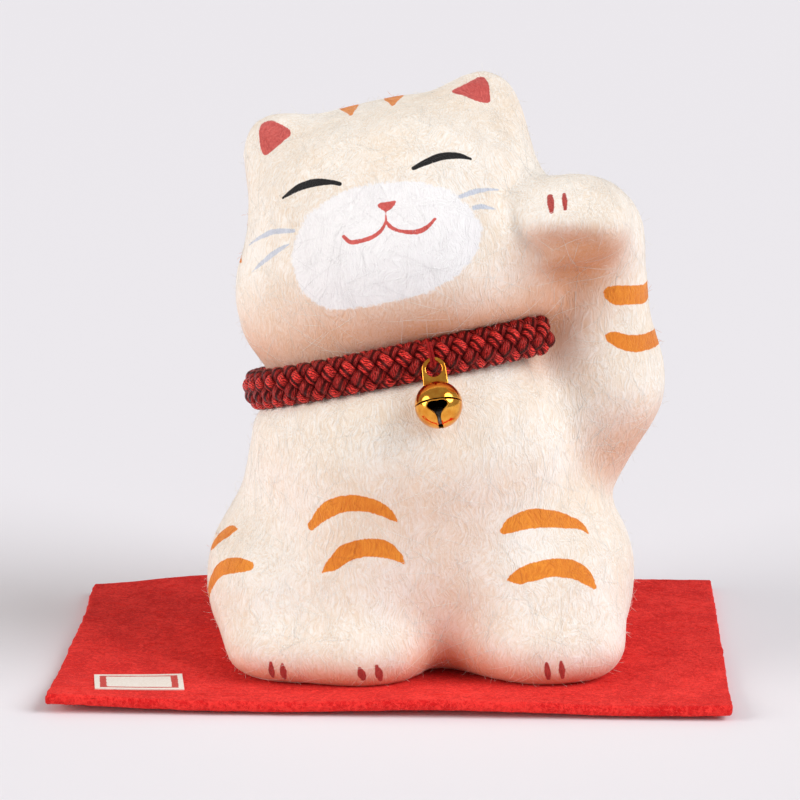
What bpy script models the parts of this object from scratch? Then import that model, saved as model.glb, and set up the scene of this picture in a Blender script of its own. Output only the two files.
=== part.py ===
"""Beckoning cat of moulded paper pulp, with a braided collar, a jingle bell and a felt mat.

Run it with blender --background --python part.py, or from Blender's text editor.
Metres, +Z up. The cat looks along -Y, its raised arm is at +X, and the origin lies under the middle of the mat.
The pulp shells are modelled as clay is: rounded lumps, pressed together and smoothed where they meet.
"""

import math
from typing import NamedTuple

import bmesh
import bpy
import numpy as np
from mathutils import Matrix, Vector

MM = 0.001
TINY = 1e-9


def tilt(roll=0.0, pitch=0.0):
    """Turn in degrees: roll lifts the +X side, pitch lifts the front."""
    lift_side = Matrix.Rotation(-math.radians(roll), 3, "Y")
    lift_front = Matrix.Rotation(-math.radians(pitch), 3, "X")
    return np.array(lift_side @ lift_front)


class Lump(NamedTuple):
    """An ellipsoid, boxier as its power rises above 2. Blend is how widely it melts into the lumps before it."""

    at: np.ndarray
    radii: np.ndarray
    power: float = 2.0
    turn: np.ndarray = tilt()
    blend: float = 0.0

    def distance(self, points):
        scaled = np.abs((points - self.at) @ self.turn / self.radii) + TINY
        reach = (scaled**self.power).sum(-1) ** (1 / self.power)
        slope = scaled ** (self.power - 1) * reach[..., None] ** (1 - self.power) / self.radii
        return (reach - 1) / np.linalg.norm(slope, axis=-1)

    def balls(self):
        return [Matrix.LocRotScale(Vector(self.at), Matrix(self.turn), Vector(self.radii))]


class Limb(NamedTuple):
    """A round limb that tapers from one ball to another."""

    start: np.ndarray
    end: np.ndarray
    start_radius: float
    end_radius: float
    blend: float = 0.0

    def distance(self, points):
        run = self.end - self.start
        along = np.clip((points - self.start) @ run / (run @ run), 0, 1)
        nearest = self.start + along[..., None] * run
        radius = self.start_radius + along * (self.end_radius - self.start_radius)
        return np.linalg.norm(points - nearest, axis=-1) - radius

    def balls(self):
        stations = np.linspace(0, 1, LIMB_BALLS)
        centres = [self.start + t * (self.end - self.start) for t in stations]
        radii = [self.start_radius + t * (self.end_radius - self.start_radius) for t in stations]
        return [Matrix.LocRotScale(Vector(c), None, Vector((r, r, r))) for c, r in zip(centres, radii)]


# Gap left between pieces that are glued together or rest on each other
SEAT_GAP = 0.3 * MM

# Felt mat, and the paper label on its front left corner
MAT_WIDTH = 130 * MM
MAT_DEPTH = 87 * MM
MAT_THICKNESS = 2 * MM
MAT_CORNER_RADIUS = 1 * MM
CORNER_SEGMENTS = 4
LABEL_WIDTH = 17 * MM
LABEL_DEPTH = 10.7 * MM
LABEL_THICKNESS = 0.4 * MM
LABEL_TURN = math.radians(7.5)
LABEL_FROM_LEFT = 16.7 * MM
LABEL_FROM_FRONT = 11.7 * MM

# Where the middle of the cat's base stands, from the middle of the mat
CAT_ACROSS = 4 * MM
CAT_BACK = 0 * MM

# Height of the cat from its flat base to its higher ear, and the part of it that the clay is measured in
CAT_HEIGHT = 113.9 * MM
CLAY_PARTS = 113.9
CLAY = CAT_HEIGHT / CLAY_PARTS


def clay(*parts):
    return np.array(parts) * CLAY


# Seated body, from the middle of the flat base
TORSO = Lump(clay(0.5, -2, 35.7), clay(32.8, 27, 27), power=2.3)
CHEST = Lump(clay(0, -8.5, 47), clay(25, 21.5, 20), blend=12 * CLAY)
HIPS = Lump(clay(1, 5, 13.7), clay(38.2, 31, 20), power=2.3, blend=16 * CLAY)
RIGHT_HAUNCH = Lump(clay(-23.2, -5, 13.2), clay(17.6, 23, 15.5), power=2.2, blend=7 * CLAY)
LEFT_HAUNCH = Lump(clay(24, -5, 13.7), clay(18.5, 24, 18), power=2.2, blend=7.5 * CLAY)
RIGHT_FORELEG = Limb(clay(-10, -18, 37.7), clay(-11, -23, 7.7), 10.5 * CLAY, 9 * CLAY, blend=7.5 * CLAY)
RIGHT_HIND_PAW = Lump(clay(-24.5, -22, 5.2), clay(11.5, 11, 7.2), blend=6 * CLAY)
RIGHT_FOREPAW = Lump(clay(-10, -25, 5.2), clay(12.5, 10, 7), blend=6 * CLAY)
LEFT_HIND_PAW = Lump(clay(26, -22, 5.7), clay(15, 11, 8), blend=7 * CLAY)
TAIL = Limb(clay(6, 35, 7.7), clay(18, 33, 27.7), 6 * CLAY, 5.5 * CLAY, blend=6 * CLAY)

# Head, cocked towards the raised arm's far side
HEAD_AT = clay(-3.2, 0, 84.7)
HEAD_TURN = tilt(roll=12)
CHEEK_TURN = HEAD_TURN @ tilt(pitch=8)
HEAD_BLEND = 6 * CLAY
EAR_APART = 39.2 * CLAY
EAR_RISE = 17.4 * CLAY
EAR_BACK = 2 * CLAY
EAR_RADII = clay(7, 6.5, 8.2)
EAR_SPLAY = 25
EAR_BLEND = 7 * CLAY


def on_head(across, back, up):
    return HEAD_AT + HEAD_TURN @ np.array((across, back, up))


CRANIUM = Lump(on_head(0, 1 * CLAY, 2.5 * CLAY), clay(28.1, 24.5, 20.6), power=2.6, turn=HEAD_TURN)
CHEEKS = Lump(on_head(-1.5 * CLAY, 1 * CLAY, -12 * CLAY), clay(33, 25, 17), 2.6, CHEEK_TURN, blend=9 * CLAY)
MUZZLE = Lump(on_head(0, -11 * CLAY, -5 * CLAY), clay(20, 17, 13), 2.2, HEAD_TURN, blend=10 * CLAY)
EARS = [
    Lump(
        on_head(side * EAR_APART / 2, EAR_BACK, EAR_RISE),
        EAR_RADII,
        turn=HEAD_TURN @ tilt(roll=-side * EAR_SPLAY),
        blend=EAR_BLEND,
    )
    for side in (-1, 1)
]

# Raised left arm, from shoulder to curled paw
SHOULDER = clay(28.5, 1, 42)
ELBOW = clay(35.2, -1, 53.2)
WRIST = clay(35.1, -2.5, 79.4)
KNUCKLE = clay(33.8, -4.5, 85.3)
PALM = clay(31, -12, 87.8)
UPPER_ARM = Limb(SHOULDER, ELBOW, 14 * CLAY, 11.6 * CLAY)
FOREARM = Limb(ELBOW, WRIST, 11.6 * CLAY, 9 * CLAY, blend=8 * CLAY)
HAND = Limb(KNUCKLE, PALM, 8.4 * CLAY, 6.3 * CLAY, blend=6 * CLAY)
PAW_TURN = tilt(roll=-2, pitch=-15)
RAISED_PAW = Lump(clay(29.5, -15.6, 88.3), clay(11.2, 10.4, 6.2), 2.2, PAW_TURN, blend=7 * CLAY)
ARM_WEB = Lump(clay(25, 4, 67.7), clay(12, 11, 22), blend=5 * CLAY)
ARM_BLEND = 4.5 * CLAY

# Pulp walls, the glued seam between the halves and the card that closes the base
WALL = 4 * MM
FLOOR = 3.5 * MM
FLOOR_BLEND = 4 * MM
SEAM_BACK = 2 * CLAY
BASE_COVER_WIDTH = 50 * CLAY
BASE_COVER_DEPTH = 36 * CLAY
BASE_COVER_THICKNESS = 1.5 * MM
BASE_COVER_BACK = 4 * CLAY
BASE_LEDGE = 4 * MM
BASE_SIDES = 48

# How finely the clay forms are meshed
SKIN_FACET = 3.4 * MM
HOLLOW_FACET = 7 * MM
LIMB_BALLS = 7
BALL_SUBDIVISIONS = 3
SMOOTHING_ROUNDS = 6
SETTLING_STEPS = 4
SLOPE_PROBE = 0.02 * MM

# Braided collar: an open band glued into a groove round the neck, from one side of the raised arm to the other
COLLAR_HEIGHT = 8 * MM
COLLAR_THICKNESS = 5.6 * MM
COLLAR_DROP = 27.2 * CLAY
COLLAR_PITCH = 10.8
COLLAR_SINK = 2 * MM
COLLAR_FRONT_END = 56.5
COLLAR_REAR_END = -226
COLLAR_END_ROUNDING = 4
COLLAR_END_BULGES = (40, 70)
COLLAR_STATIONS = 44
COLLAR_SIDES = 10
COLLAR_SEARCH = clay(12, 60)
COLLAR_SEARCH_STEPS = 240

# Thread that ties the bell to the front of the collar
THREAD_THICKNESS = 0.9 * MM
THREAD_RING = 4.4 * MM
THREAD_STANDOFF = 1.6 * MM
THREAD_RISE = 0.8 * MM
THREAD_ANGLE = 5
THREAD_SEGMENTS = 20
THREAD_SIDES = 8

# Jingle bell of two pressed cups, its eye and its loose pellet
BELL_DIAMETER = 9 * MM
BELL_WALL = 0.45 * MM
BELL_LEAN = 9
BELL_PITCHES = np.arange(0, 90, 0.25)
BELL_SEGMENTS = 24
BELL_RINGS = 6
BELL_EYE_WIDTH = 4.6 * MM
BELL_EYE_HOLE = 2.9 * MM
BELL_EYE_RISE = 2.5 * MM
BELL_EYE_THICKNESS = 1 * MM
BELL_EYE_FOOT = 2.7 * MM
BELL_EYE_ARCH_POINTS = 17
BELL_EYE_SEGMENTS = 20
BELL_MOUTH = 4.2 * MM
BELL_MOUTH_DROP = 0.9 * MM
BELL_SLOT = 0.9 * MM
BELL_SLOT_PAST = 2 * MM
PELLET_DIAMETER = 3.4 * MM


# Scene helpers
MERGE_WITHIN = 0.03 * MM
AXIS_MARK = 5 * MM
SHARP_FROM = 35
ROUND_SHARP_FROM = 60


def clear_scene():
    for stale in list(bpy.data.objects):
        bpy.data.objects.remove(stale, do_unlink=True)


def material(name, colour, roughness, metallic=0.0):
    made = bpy.data.materials.new(name)
    made.use_nodes = True
    surface = made.node_tree.nodes["Principled BSDF"]
    surface.inputs["Base Color"].default_value = (*colour, 1)
    surface.inputs["Roughness"].default_value = roughness
    surface.inputs["Metallic"].default_value = metallic
    made.diffuse_color = (*colour, 1)
    return made


def linked(name, data):
    made = bpy.data.objects.new(name, data)
    bpy.context.scene.collection.objects.link(made)
    return made


def from_bmesh(name, bm, finish=None, smooth_below=SHARP_FROM):
    bmesh.ops.recalc_face_normals(bm, faces=bm.faces)
    mesh = bpy.data.meshes.new(name)
    bm.to_mesh(mesh)
    bm.free()
    mesh.shade_smooth()
    mesh.set_sharp_from_angle(angle=math.radians(smooth_below))
    if finish:
        mesh.materials.append(finish)
    return linked(name, mesh)


def as_cutter(made):
    made.hide_render = True
    made.display_type = "WIRE"
    return made


def boolean(made, cutter, operation="DIFFERENCE"):
    cut = made.modifiers.new(cutter.name, "BOOLEAN")
    cut.operation = operation
    cut.solver = "EXACT"
    cut.object = cutter


def empty(name, at, parent=None):
    made = linked(name, None)
    made.empty_display_size = AXIS_MARK
    made.location = at
    hang(made, parent)
    return made


def hang(made, parent):
    """Parents an object without moving it."""
    if parent is None:
        return
    bpy.context.view_layer.update()
    placed = made.matrix_world.copy()
    made.parent = parent
    made.matrix_world = placed


def block(name, low, high):
    bm = bmesh.new()
    size = Vector(high) - Vector(low)
    middle = (Vector(high) + Vector(low)) / 2
    bmesh.ops.create_cube(bm, size=1, matrix=Matrix.LocRotScale(middle, None, size))
    return from_bmesh(name, bm)


def elliptic_plate(name, width, depth, bottom, top, back, finish=None):
    bm = bmesh.new()
    place = Matrix.LocRotScale((0, back, (bottom + top) / 2), None, (width / 2, depth / 2, 1))
    bmesh.ops.create_cone(
        bm, cap_ends=True, segments=BASE_SIDES, radius1=1, radius2=1, depth=top - bottom, matrix=place
    )
    return from_bmesh(name, bm, finish)


# Clay forms: each gives a point's distance from its surface, below zero inside


def melted(one, other, blend):
    """The nearer of two surfaces, rounded over the blend where they meet."""
    overlap = np.maximum(blend - np.abs(one - other), 0) / blend
    return np.minimum(one, other) - overlap**2 * blend / 4


def joined(points, lumps):
    surface = lumps[0].distance(points)
    for lump in lumps[1:]:
        surface = melted(surface, lump.distance(points), lump.blend)
    return surface


TRUNK = [TORSO, CHEST, HIPS]
LEGS = [RIGHT_HAUNCH, LEFT_HAUNCH, RIGHT_FORELEG, RIGHT_HIND_PAW, RIGHT_FOREPAW, LEFT_HIND_PAW, TAIL]
SKULL = [CRANIUM, CHEEKS, MUZZLE]
RAISED_ARM = [UPPER_ARM, FOREARM, HAND, RAISED_PAW, ARM_WEB]


def cat_form(points):
    seated = melted(joined(points, TRUNK + LEGS), joined(points, SKULL + EARS), HEAD_BLEND)
    return melted(seated, joined(points, RAISED_ARM), ARM_BLEND)


def hollow_form(points):
    """Inside of the pulp: one wall in from the trunk and skull, over a flat floor. Limbs and ears are solid."""
    walls = melted(joined(points, TRUNK), joined(points, SKULL), HEAD_BLEND) + WALL
    return -melted(-walls, points[..., 2] - FLOOR, FLOOR_BLEND)


def settled(points, form):
    """The points moved down or up the form's slope until they lie on its surface."""
    for _ in range(SETTLING_STEPS):
        probes = SLOPE_PROBE * np.eye(3)
        slope = np.stack([form(points + p) - form(points - p) for p in probes], axis=-1) / (2 * SLOPE_PROBE)
        points = points - (form(points) / (slope**2).sum(-1))[:, None] * slope
    return points


def evened(points, edges):
    """Each point moved to the middle of its neighbours, so that the facets keep one size."""
    total = np.zeros_like(points)
    count = np.zeros((len(points), 1))
    for here, there in ((0, 1), (1, 0)):
        np.add.at(total, edges[:, here], points[edges[:, there]])
        np.add.at(count, edges[:, here], 1)
    return total / count


def moulded_mesh(name, lumps, form, facet):
    """Mesh of a clay form: the bare lumps fused into one skin, which then settles on the blended surface."""
    bm = bmesh.new()
    for lump in lumps:
        for ball in lump.balls():
            bmesh.ops.create_icosphere(bm, subdivisions=BALL_SUBDIVISIONS, radius=1, matrix=ball)
    lumped = from_bmesh(name + "_lumps", bm)
    fuse = lumped.modifiers.new("Fuse", "REMESH")
    fuse.mode = "VOXEL"
    fuse.voxel_size = facet
    graph = bpy.context.evaluated_depsgraph_get()
    mesh = bpy.data.meshes.new_from_object(lumped.evaluated_get(graph))
    bpy.data.objects.remove(lumped, do_unlink=True)
    mesh.name = name
    points = np.empty(len(mesh.vertices) * 3, np.float32)
    mesh.vertices.foreach_get("co", points)
    points = points.reshape(-1, 3).astype(float)
    edges = np.empty(len(mesh.edges) * 2, np.int32)
    mesh.edges.foreach_get("vertices", edges)
    edges = edges.reshape(-1, 2)
    for _ in range(SMOOTHING_ROUNDS):
        points = settled(evened(points, edges), form)
    mesh.vertices.foreach_set("co", points.astype(np.float32).ravel())
    mesh.update()
    return mesh


# The cat's pulp shells


def add_shells(cat):
    """Front and rear halves of the hollow figure, cut flat underneath and recessed there for the base card."""
    skin = moulded_mesh("skin", TRUNK + LEGS + SKULL + EARS + RAISED_ARM, cat_form, SKIN_FACET)
    hollow = moulded_mesh("hollow", TRUNK + SKULL, hollow_form, HOLLOW_FACET)
    skin.shade_smooth()
    hollow_cutter = as_cutter(linked("hollow_cutter", hollow))
    recess_top = BASE_COVER_THICKNESS + SEAT_GAP
    recess_width = BASE_COVER_WIDTH + 2 * SEAT_GAP
    recess_depth = BASE_COVER_DEPTH + 2 * SEAT_GAP
    hole_width = BASE_COVER_WIDTH - 2 * BASE_LEDGE
    hole_depth = BASE_COVER_DEPTH - 2 * BASE_LEDGE
    below = -FLOOR
    recess = elliptic_plate("recess_cutter", recess_width, recess_depth, below, recess_top, BASE_COVER_BACK)
    hole = elliptic_plate("hole_cutter", hole_width, hole_depth, below, 2 * FLOOR, BASE_COVER_BACK)
    reach = 2 * max(MAT_WIDTH, MAT_DEPTH)
    front_edge = SEAM_BACK - SEAT_GAP / 2
    rear_edge = SEAM_BACK + SEAT_GAP / 2
    front_half = block("front_half_cutter", (-reach, -reach, 0), (reach, front_edge, reach))
    rear_half = block("rear_half_cutter", (-reach, rear_edge, 0), (reach, reach, reach))
    groove = collar_band("groove_cutter", grown=SEAT_GAP)
    paper = material("paper_pulp", (0.87, 0.76, 0.66), 0.9)
    for cutter in (hollow_cutter, recess, hole, groove, front_half, rear_half):
        as_cutter(cutter)
        cutter.location = cat.location
        hang(cutter, cat)
    for name, half in (("front_shell", front_half), ("rear_shell", rear_half)):
        mesh = skin.copy()
        mesh.name = name
        mesh.materials.append(paper)
        shell = linked(name, mesh)
        boolean(shell, groove)
        boolean(shell, half, "INTERSECT")
        boolean(shell, hollow_cutter)
        boolean(shell, hole)
        boolean(shell, recess)
        shell.location = cat.location
        hang(shell, cat)


def add_base_cover(cat):
    card = material("base_card", (0.72, 0.62, 0.5), 0.9)
    cover = elliptic_plate(
        "base_cover", BASE_COVER_WIDTH, BASE_COVER_DEPTH, 0, BASE_COVER_THICKNESS, BASE_COVER_BACK, card
    )
    cover.location = cat.location
    hang(cover, cat)


# Collar


COLLAR_TURN = HEAD_TURN @ tilt(pitch=COLLAR_PITCH)
COLLAR_MIDDLE = on_head(0, 0, -COLLAR_DROP)
COLLAR_UP = COLLAR_TURN @ np.array((0, 0, 1))


def collar_outward(degrees):
    """Direction out from the neck, turned from the front towards the raised arm."""
    angle = math.radians(degrees)
    return COLLAR_TURN @ np.array((math.sin(angle), -math.cos(angle), 0))


def collar_section(degrees, grown=0.0):
    """Cross-section of the braid about its middle, as an oval in the plane through the neck's axis."""
    angles = np.linspace(0, 2 * math.pi, COLLAR_SIDES, endpoint=False)[:, None]
    across = (COLLAR_THICKNESS / 2 + grown) * np.cos(angles) * collar_outward(degrees)
    return across + (COLLAR_HEIGHT / 2 + grown) * np.sin(angles) * COLLAR_UP


def collar_centre(degrees):
    """Where the middle of the braid lies: sunk into the neck from where it would first touch the pulp."""
    outward = collar_outward(degrees)
    reaches = np.linspace(COLLAR_SEARCH[1], COLLAR_SEARCH[0], COLLAR_SEARCH_STEPS)
    sections = COLLAR_MIDDLE + reaches[:, None, None] * outward + collar_section(degrees)[None]
    room = cat_form(sections).min(axis=1)
    blocked = int(np.argmax(room < 0))
    share = room[blocked - 1] / (room[blocked - 1] - room[blocked])
    touching = reaches[blocked - 1] + share * (reaches[blocked] - reaches[blocked - 1])
    return COLLAR_MIDDLE + (touching - COLLAR_SINK) * outward


def collar_band(name, grown=0.0, finish=None):
    """Sweep of the oval section round the neck, with rounded ends beside the raised arm."""
    stations = [(turn, 1.0) for turn in np.linspace(COLLAR_FRONT_END, COLLAR_REAR_END, COLLAR_STATIONS)]
    rounding = COLLAR_END_ROUNDING * (1 + 2 * grown / COLLAR_THICKNESS)
    for bulge in np.radians(COLLAR_END_BULGES):
        past = rounding * math.sin(bulge)
        stations.insert(0, (COLLAR_FRONT_END + past, math.cos(bulge)))
        stations.append((COLLAR_REAR_END - past, math.cos(bulge)))
    bm = bmesh.new()
    rings = []
    for turn, size in stations:
        points = collar_centre(turn) + size * collar_section(turn, grown)
        rings.append([bm.verts.new(point) for point in points])
    for one, other in zip(rings, rings[1:]):
        for side in range(COLLAR_SIDES):
            after = (side + 1) % COLLAR_SIDES
            bm.faces.new((one[side], one[after], other[after], other[side]))
    bm.faces.new(rings[0])
    bm.faces.new(rings[-1])
    return from_bmesh(name, bm, finish, smooth_below=ROUND_SHARP_FROM)


def add_collar(cat):
    braid = material("collar_braid", (0.42, 0.022, 0.018), 0.55)
    collar = collar_band("collar", finish=braid)
    boolean(collar, as_cutter(thread_ring("stitch_cutter", THREAD_THICKNESS + 2 * SEAT_GAP)))
    collar.location = cat.location
    hang(collar, cat)


# Thread ring that carries the bell. Its axis runs along the collar, so it slips round through the braid


THREAD_ACROSS = collar_outward(THREAD_ANGLE)
THREAD_AXIS = np.cross(COLLAR_UP, THREAD_ACROSS)
THREAD_CENTRE = (
    collar_centre(THREAD_ANGLE)
    + (COLLAR_THICKNESS / 2 + THREAD_STANDOFF) * THREAD_ACROSS
    + THREAD_RISE * COLLAR_UP
)
DOWN = np.array((0.0, 0.0, -1.0))


def cat_place():
    return Vector((CAT_ACROSS, CAT_BACK, MAT_THICKNESS + SEAT_GAP))


def thread_ring(name, thickness, finish=None):
    bm = bmesh.new()
    flat_ring = Matrix.Translation((THREAD_RING / 2, 0, 0)) @ Matrix.Rotation(math.pi / 2, 4, "X")
    bmesh.ops.create_circle(bm, segments=THREAD_SIDES, radius=thickness / 2, matrix=flat_ring)
    bmesh.ops.spin(
        bm,
        geom=bm.verts[:] + bm.edges[:],
        axis=(0, 0, 1),
        angle=2 * math.pi,
        steps=THREAD_SEGMENTS,
        use_merge=True,
    )
    bmesh.ops.remove_doubles(bm, verts=bm.verts, dist=MERGE_WITHIN)
    ring = from_bmesh(name, bm, finish, smooth_below=ROUND_SHARP_FROM)
    upright = Vector((0, 0, 1)).rotation_difference(Vector(THREAD_AXIS))
    ring.matrix_world = Matrix.LocRotScale(Vector(THREAD_CENTRE) + cat_place(), upright, None)
    return ring


# Bell


BELL_RADIUS = BELL_DIAMETER / 2
BELL_EYE_HEIGHT = BELL_RADIUS + BELL_EYE_RISE
BELL_HANG = BELL_EYE_HEIGHT + BELL_EYE_HOLE / 2 - THREAD_THICKNESS / 2 - SEAT_GAP


class BellPose(NamedTuple):
    """How the bell hangs: its turn, the point of the thread that carries its eye, and the middle of its cups."""

    turn: np.ndarray
    pivot: np.ndarray
    middle: np.ndarray


def bell_pose(pitch):
    """The bell pulled out from the chest by a pitch in degrees, with its thread in line."""
    turn = tilt(roll=BELL_LEAN, pitch=pitch)
    pull = turn @ DOWN
    in_ring = pull - (pull @ THREAD_AXIS) * THREAD_AXIS
    pivot = THREAD_CENTRE + THREAD_RING / 2 * in_ring / np.linalg.norm(in_ring)
    return BellPose(turn, pivot, pivot + BELL_HANG * pull)


def resting_bell():
    """The bell leaning out just far enough for its cups to rest on the chest."""
    for pitch in BELL_PITCHES:
        pose = bell_pose(pitch)
        if cat_form(pose.middle) >= BELL_RADIUS + SEAT_GAP:
            break
    return pose


def bell_cup(name, finish, side):
    """One pressed hemisphere, turned from the profile of its wall; side is 1 for the upper cup, -1 for the lower."""
    bm = bmesh.new()
    seam = SEAT_GAP / 2
    inner = BELL_RADIUS - BELL_WALL
    profile = []
    for radius in (BELL_RADIUS, inner):
        low = math.asin(seam / radius)
        arc = np.linspace(low, math.pi / 2, BELL_RINGS + 1)
        arc = arc if radius == BELL_RADIUS else arc[::-1]
        profile += [bm.verts.new((radius * math.cos(a), 0, side * radius * math.sin(a))) for a in arc]
    outline = [bm.edges.new(pair) for pair in zip(profile, profile[1:])]
    outline.append(bm.edges.new((profile[-1], profile[0])))
    apex = [edge for edge in outline if all(abs(v.co.x) < MERGE_WITHIN for v in edge.verts)]
    bmesh.ops.delete(bm, geom=apex, context="EDGES")
    bmesh.ops.spin(
        bm,
        geom=bm.verts[:] + bm.edges[:],
        axis=(0, 0, 1),
        angle=2 * math.pi,
        steps=BELL_SEGMENTS,
        use_merge=True,
    )
    bmesh.ops.remove_doubles(bm, verts=bm.verts, dist=MERGE_WITHIN)
    return from_bmesh(name, bm, finish, smooth_below=ROUND_SHARP_FROM)


def bell_mouth():
    """Cutters for the lower cup: a round mouth in its front rim, and a slot from there to past its lowest point."""
    bm = bmesh.new()
    forward = Matrix.Translation((0, -BELL_RADIUS, -BELL_MOUTH_DROP)) @ Matrix.Rotation(math.pi / 2, 4, "X")
    mouth_radius = BELL_MOUTH / 2
    bmesh.ops.create_cone(
        bm,
        cap_ends=True,
        segments=BELL_SEGMENTS,
        radius1=mouth_radius,
        radius2=mouth_radius,
        depth=BELL_DIAMETER,
        matrix=forward,
    )
    mouth = from_bmesh("mouth_cutter", bm)
    half_slot = BELL_SLOT / 2
    corner = (-half_slot, -BELL_DIAMETER, -BELL_DIAMETER)
    slot = block("slot_cutter", corner, (half_slot, BELL_SLOT_PAST, -BELL_MOUTH_DROP))
    return mouth, slot


def bell_eye(name, finish):
    """The pierced lug on top, its foot hollowed to sit on the upper cup."""
    bm = bmesh.new()
    half = BELL_EYE_WIDTH / 2
    turns = np.linspace(0, math.pi, BELL_EYE_ARCH_POINTS)
    arch = [(half * math.cos(a), BELL_EYE_HEIGHT + half * math.sin(a)) for a in turns]
    outline = [*arch, (-half, BELL_EYE_FOOT), (half, BELL_EYE_FOOT)]
    front = -BELL_EYE_THICKNESS / 2
    face = bm.faces.new([bm.verts.new((x, front, z)) for x, z in outline])
    grown = bmesh.ops.extrude_face_region(bm, geom=[face])["geom"]
    moved = [item for item in grown if isinstance(item, bmesh.types.BMVert)]
    bmesh.ops.translate(bm, verts=moved, vec=(0, BELL_EYE_THICKNESS, 0))
    eye = from_bmesh(name, bm, finish)
    bm = bmesh.new()
    through = Matrix.Translation((0, 0, BELL_EYE_HEIGHT)) @ Matrix.Rotation(math.pi / 2, 4, "X")
    hole_radius = BELL_EYE_HOLE / 2
    bmesh.ops.create_cone(
        bm,
        cap_ends=True,
        segments=BELL_EYE_SEGMENTS,
        radius1=hole_radius,
        radius2=hole_radius,
        depth=BELL_RADIUS,
        matrix=through,
    )
    hole = from_bmesh("eye_hole_cutter", bm)
    bm = bmesh.new()
    bmesh.ops.create_uvsphere(
        bm, u_segments=BELL_SEGMENTS, v_segments=4 * BELL_RINGS, radius=BELL_RADIUS + SEAT_GAP
    )
    dome = from_bmesh("dome_cutter", bm)
    return eye, hole, dome


def add_bell(cat):
    """Thread, bell and pellet, each hung from an empty on the axis that it turns about."""
    pose = resting_bell()
    brass = material("bell_brass", (0.86, 0.55, 0.2), 0.2, 1.0)
    steel = material("pellet_steel", (0.5, 0.5, 0.5), 0.35, 1.0)
    red_thread = material("red_thread", (0.5, 0.03, 0.025), 0.6)
    swing = empty("bell_swing_axis", Vector(THREAD_CENTRE) + cat_place(), cat)
    sway = empty("bell_sway_axis", Vector(pose.pivot) + cat_place(), swing)
    hang(thread_ring("bell_thread", THREAD_THICKNESS, red_thread), swing)
    middle = Vector(pose.middle) + cat_place()
    placed = Matrix.LocRotScale(middle, Matrix(pose.turn), None)
    upper = bell_cup("bell_upper_shell", brass, 1)
    lower = bell_cup("bell_lower_shell", brass, -1)
    mouth, slot = bell_mouth()
    eye, hole, dome = bell_eye("bell_loop", brass)
    boolean(lower, mouth)
    boolean(lower, slot)
    boolean(eye, hole)
    boolean(eye, dome)
    for cutter in (mouth, slot, hole, dome):
        as_cutter(cutter)
    for made in (upper, lower, eye, mouth, slot, hole, dome):
        made.matrix_world = placed
        hang(made, sway)
    bm = bmesh.new()
    bmesh.ops.create_icosphere(bm, subdivisions=BALL_SUBDIVISIONS, radius=PELLET_DIAMETER / 2)
    pellet = from_bmesh("bell_pellet", bm, steel)
    pellet.location = middle + Vector(DOWN) * (BELL_RADIUS - BELL_WALL - PELLET_DIAMETER / 2 - SEAT_GAP)
    hang(pellet, sway)


# Mat and label


def rounded_plate(name, width, depth, thickness, corner, finish):
    bm = bmesh.new()
    bmesh.ops.create_cube(bm, size=1, matrix=Matrix.Diagonal((width, depth, thickness, 1)))
    upright = [edge for edge in bm.edges if abs(edge.verts[0].co.z - edge.verts[1].co.z) > thickness / 2]
    bmesh.ops.bevel(bm, geom=upright, offset=corner, segments=CORNER_SEGMENTS, profile=0.5, affect="EDGES")
    return from_bmesh(name, bm, finish)


def add_mat():
    felt = material("red_felt", (0.72, 0.03, 0.028), 0.95)
    mat = rounded_plate("display_mat", MAT_WIDTH, MAT_DEPTH, MAT_THICKNESS, MAT_CORNER_RADIUS, felt)
    mat.location.z = MAT_THICKNESS / 2


def add_label():
    paper = material("label_paper", (0.8, 0.76, 0.7), 0.8)
    label = rounded_plate(
        "mat_label", LABEL_WIDTH, LABEL_DEPTH, LABEL_THICKNESS, LABEL_THICKNESS, paper
    )
    across = LABEL_FROM_LEFT - MAT_WIDTH / 2
    back = LABEL_FROM_FRONT - MAT_DEPTH / 2
    label.location = (across, back, MAT_THICKNESS + SEAT_GAP + LABEL_THICKNESS / 2)
    label.rotation_euler.z = LABEL_TURN


def main():
    clear_scene()
    add_mat()
    add_label()
    cat = empty("cat", cat_place())
    add_shells(cat)
    add_base_cover(cat)
    add_collar(cat)
    add_bell(cat)


main()
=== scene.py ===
"""The looks of a beckoning cat of moulded paper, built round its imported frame."""

import math

import bmesh
import bpy
import numpy as np
from mathutils import Matrix, Vector, noise
from mathutils.bvhtree import BVHTree


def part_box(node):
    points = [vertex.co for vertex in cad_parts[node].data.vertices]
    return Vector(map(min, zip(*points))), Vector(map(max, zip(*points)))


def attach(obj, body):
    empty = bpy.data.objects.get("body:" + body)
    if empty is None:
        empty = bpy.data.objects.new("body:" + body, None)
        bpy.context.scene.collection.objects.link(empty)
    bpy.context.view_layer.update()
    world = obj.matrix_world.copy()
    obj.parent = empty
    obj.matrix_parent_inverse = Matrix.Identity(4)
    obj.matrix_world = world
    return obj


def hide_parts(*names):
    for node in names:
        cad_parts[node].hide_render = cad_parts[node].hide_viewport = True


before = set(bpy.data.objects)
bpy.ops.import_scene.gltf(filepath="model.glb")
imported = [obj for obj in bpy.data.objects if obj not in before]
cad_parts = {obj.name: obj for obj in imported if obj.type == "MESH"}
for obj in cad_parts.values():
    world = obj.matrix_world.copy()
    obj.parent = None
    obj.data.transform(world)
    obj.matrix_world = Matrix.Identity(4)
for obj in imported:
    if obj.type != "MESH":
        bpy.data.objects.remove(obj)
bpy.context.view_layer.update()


# Paper skin.
# Torn sheets of long-fibred paper are pasted over the two glued halves of pulp, so the mould line is hidden
# and every edge comes out soft and a little lumpy. The face, ears, stripes and claws are painted by hand.

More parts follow.
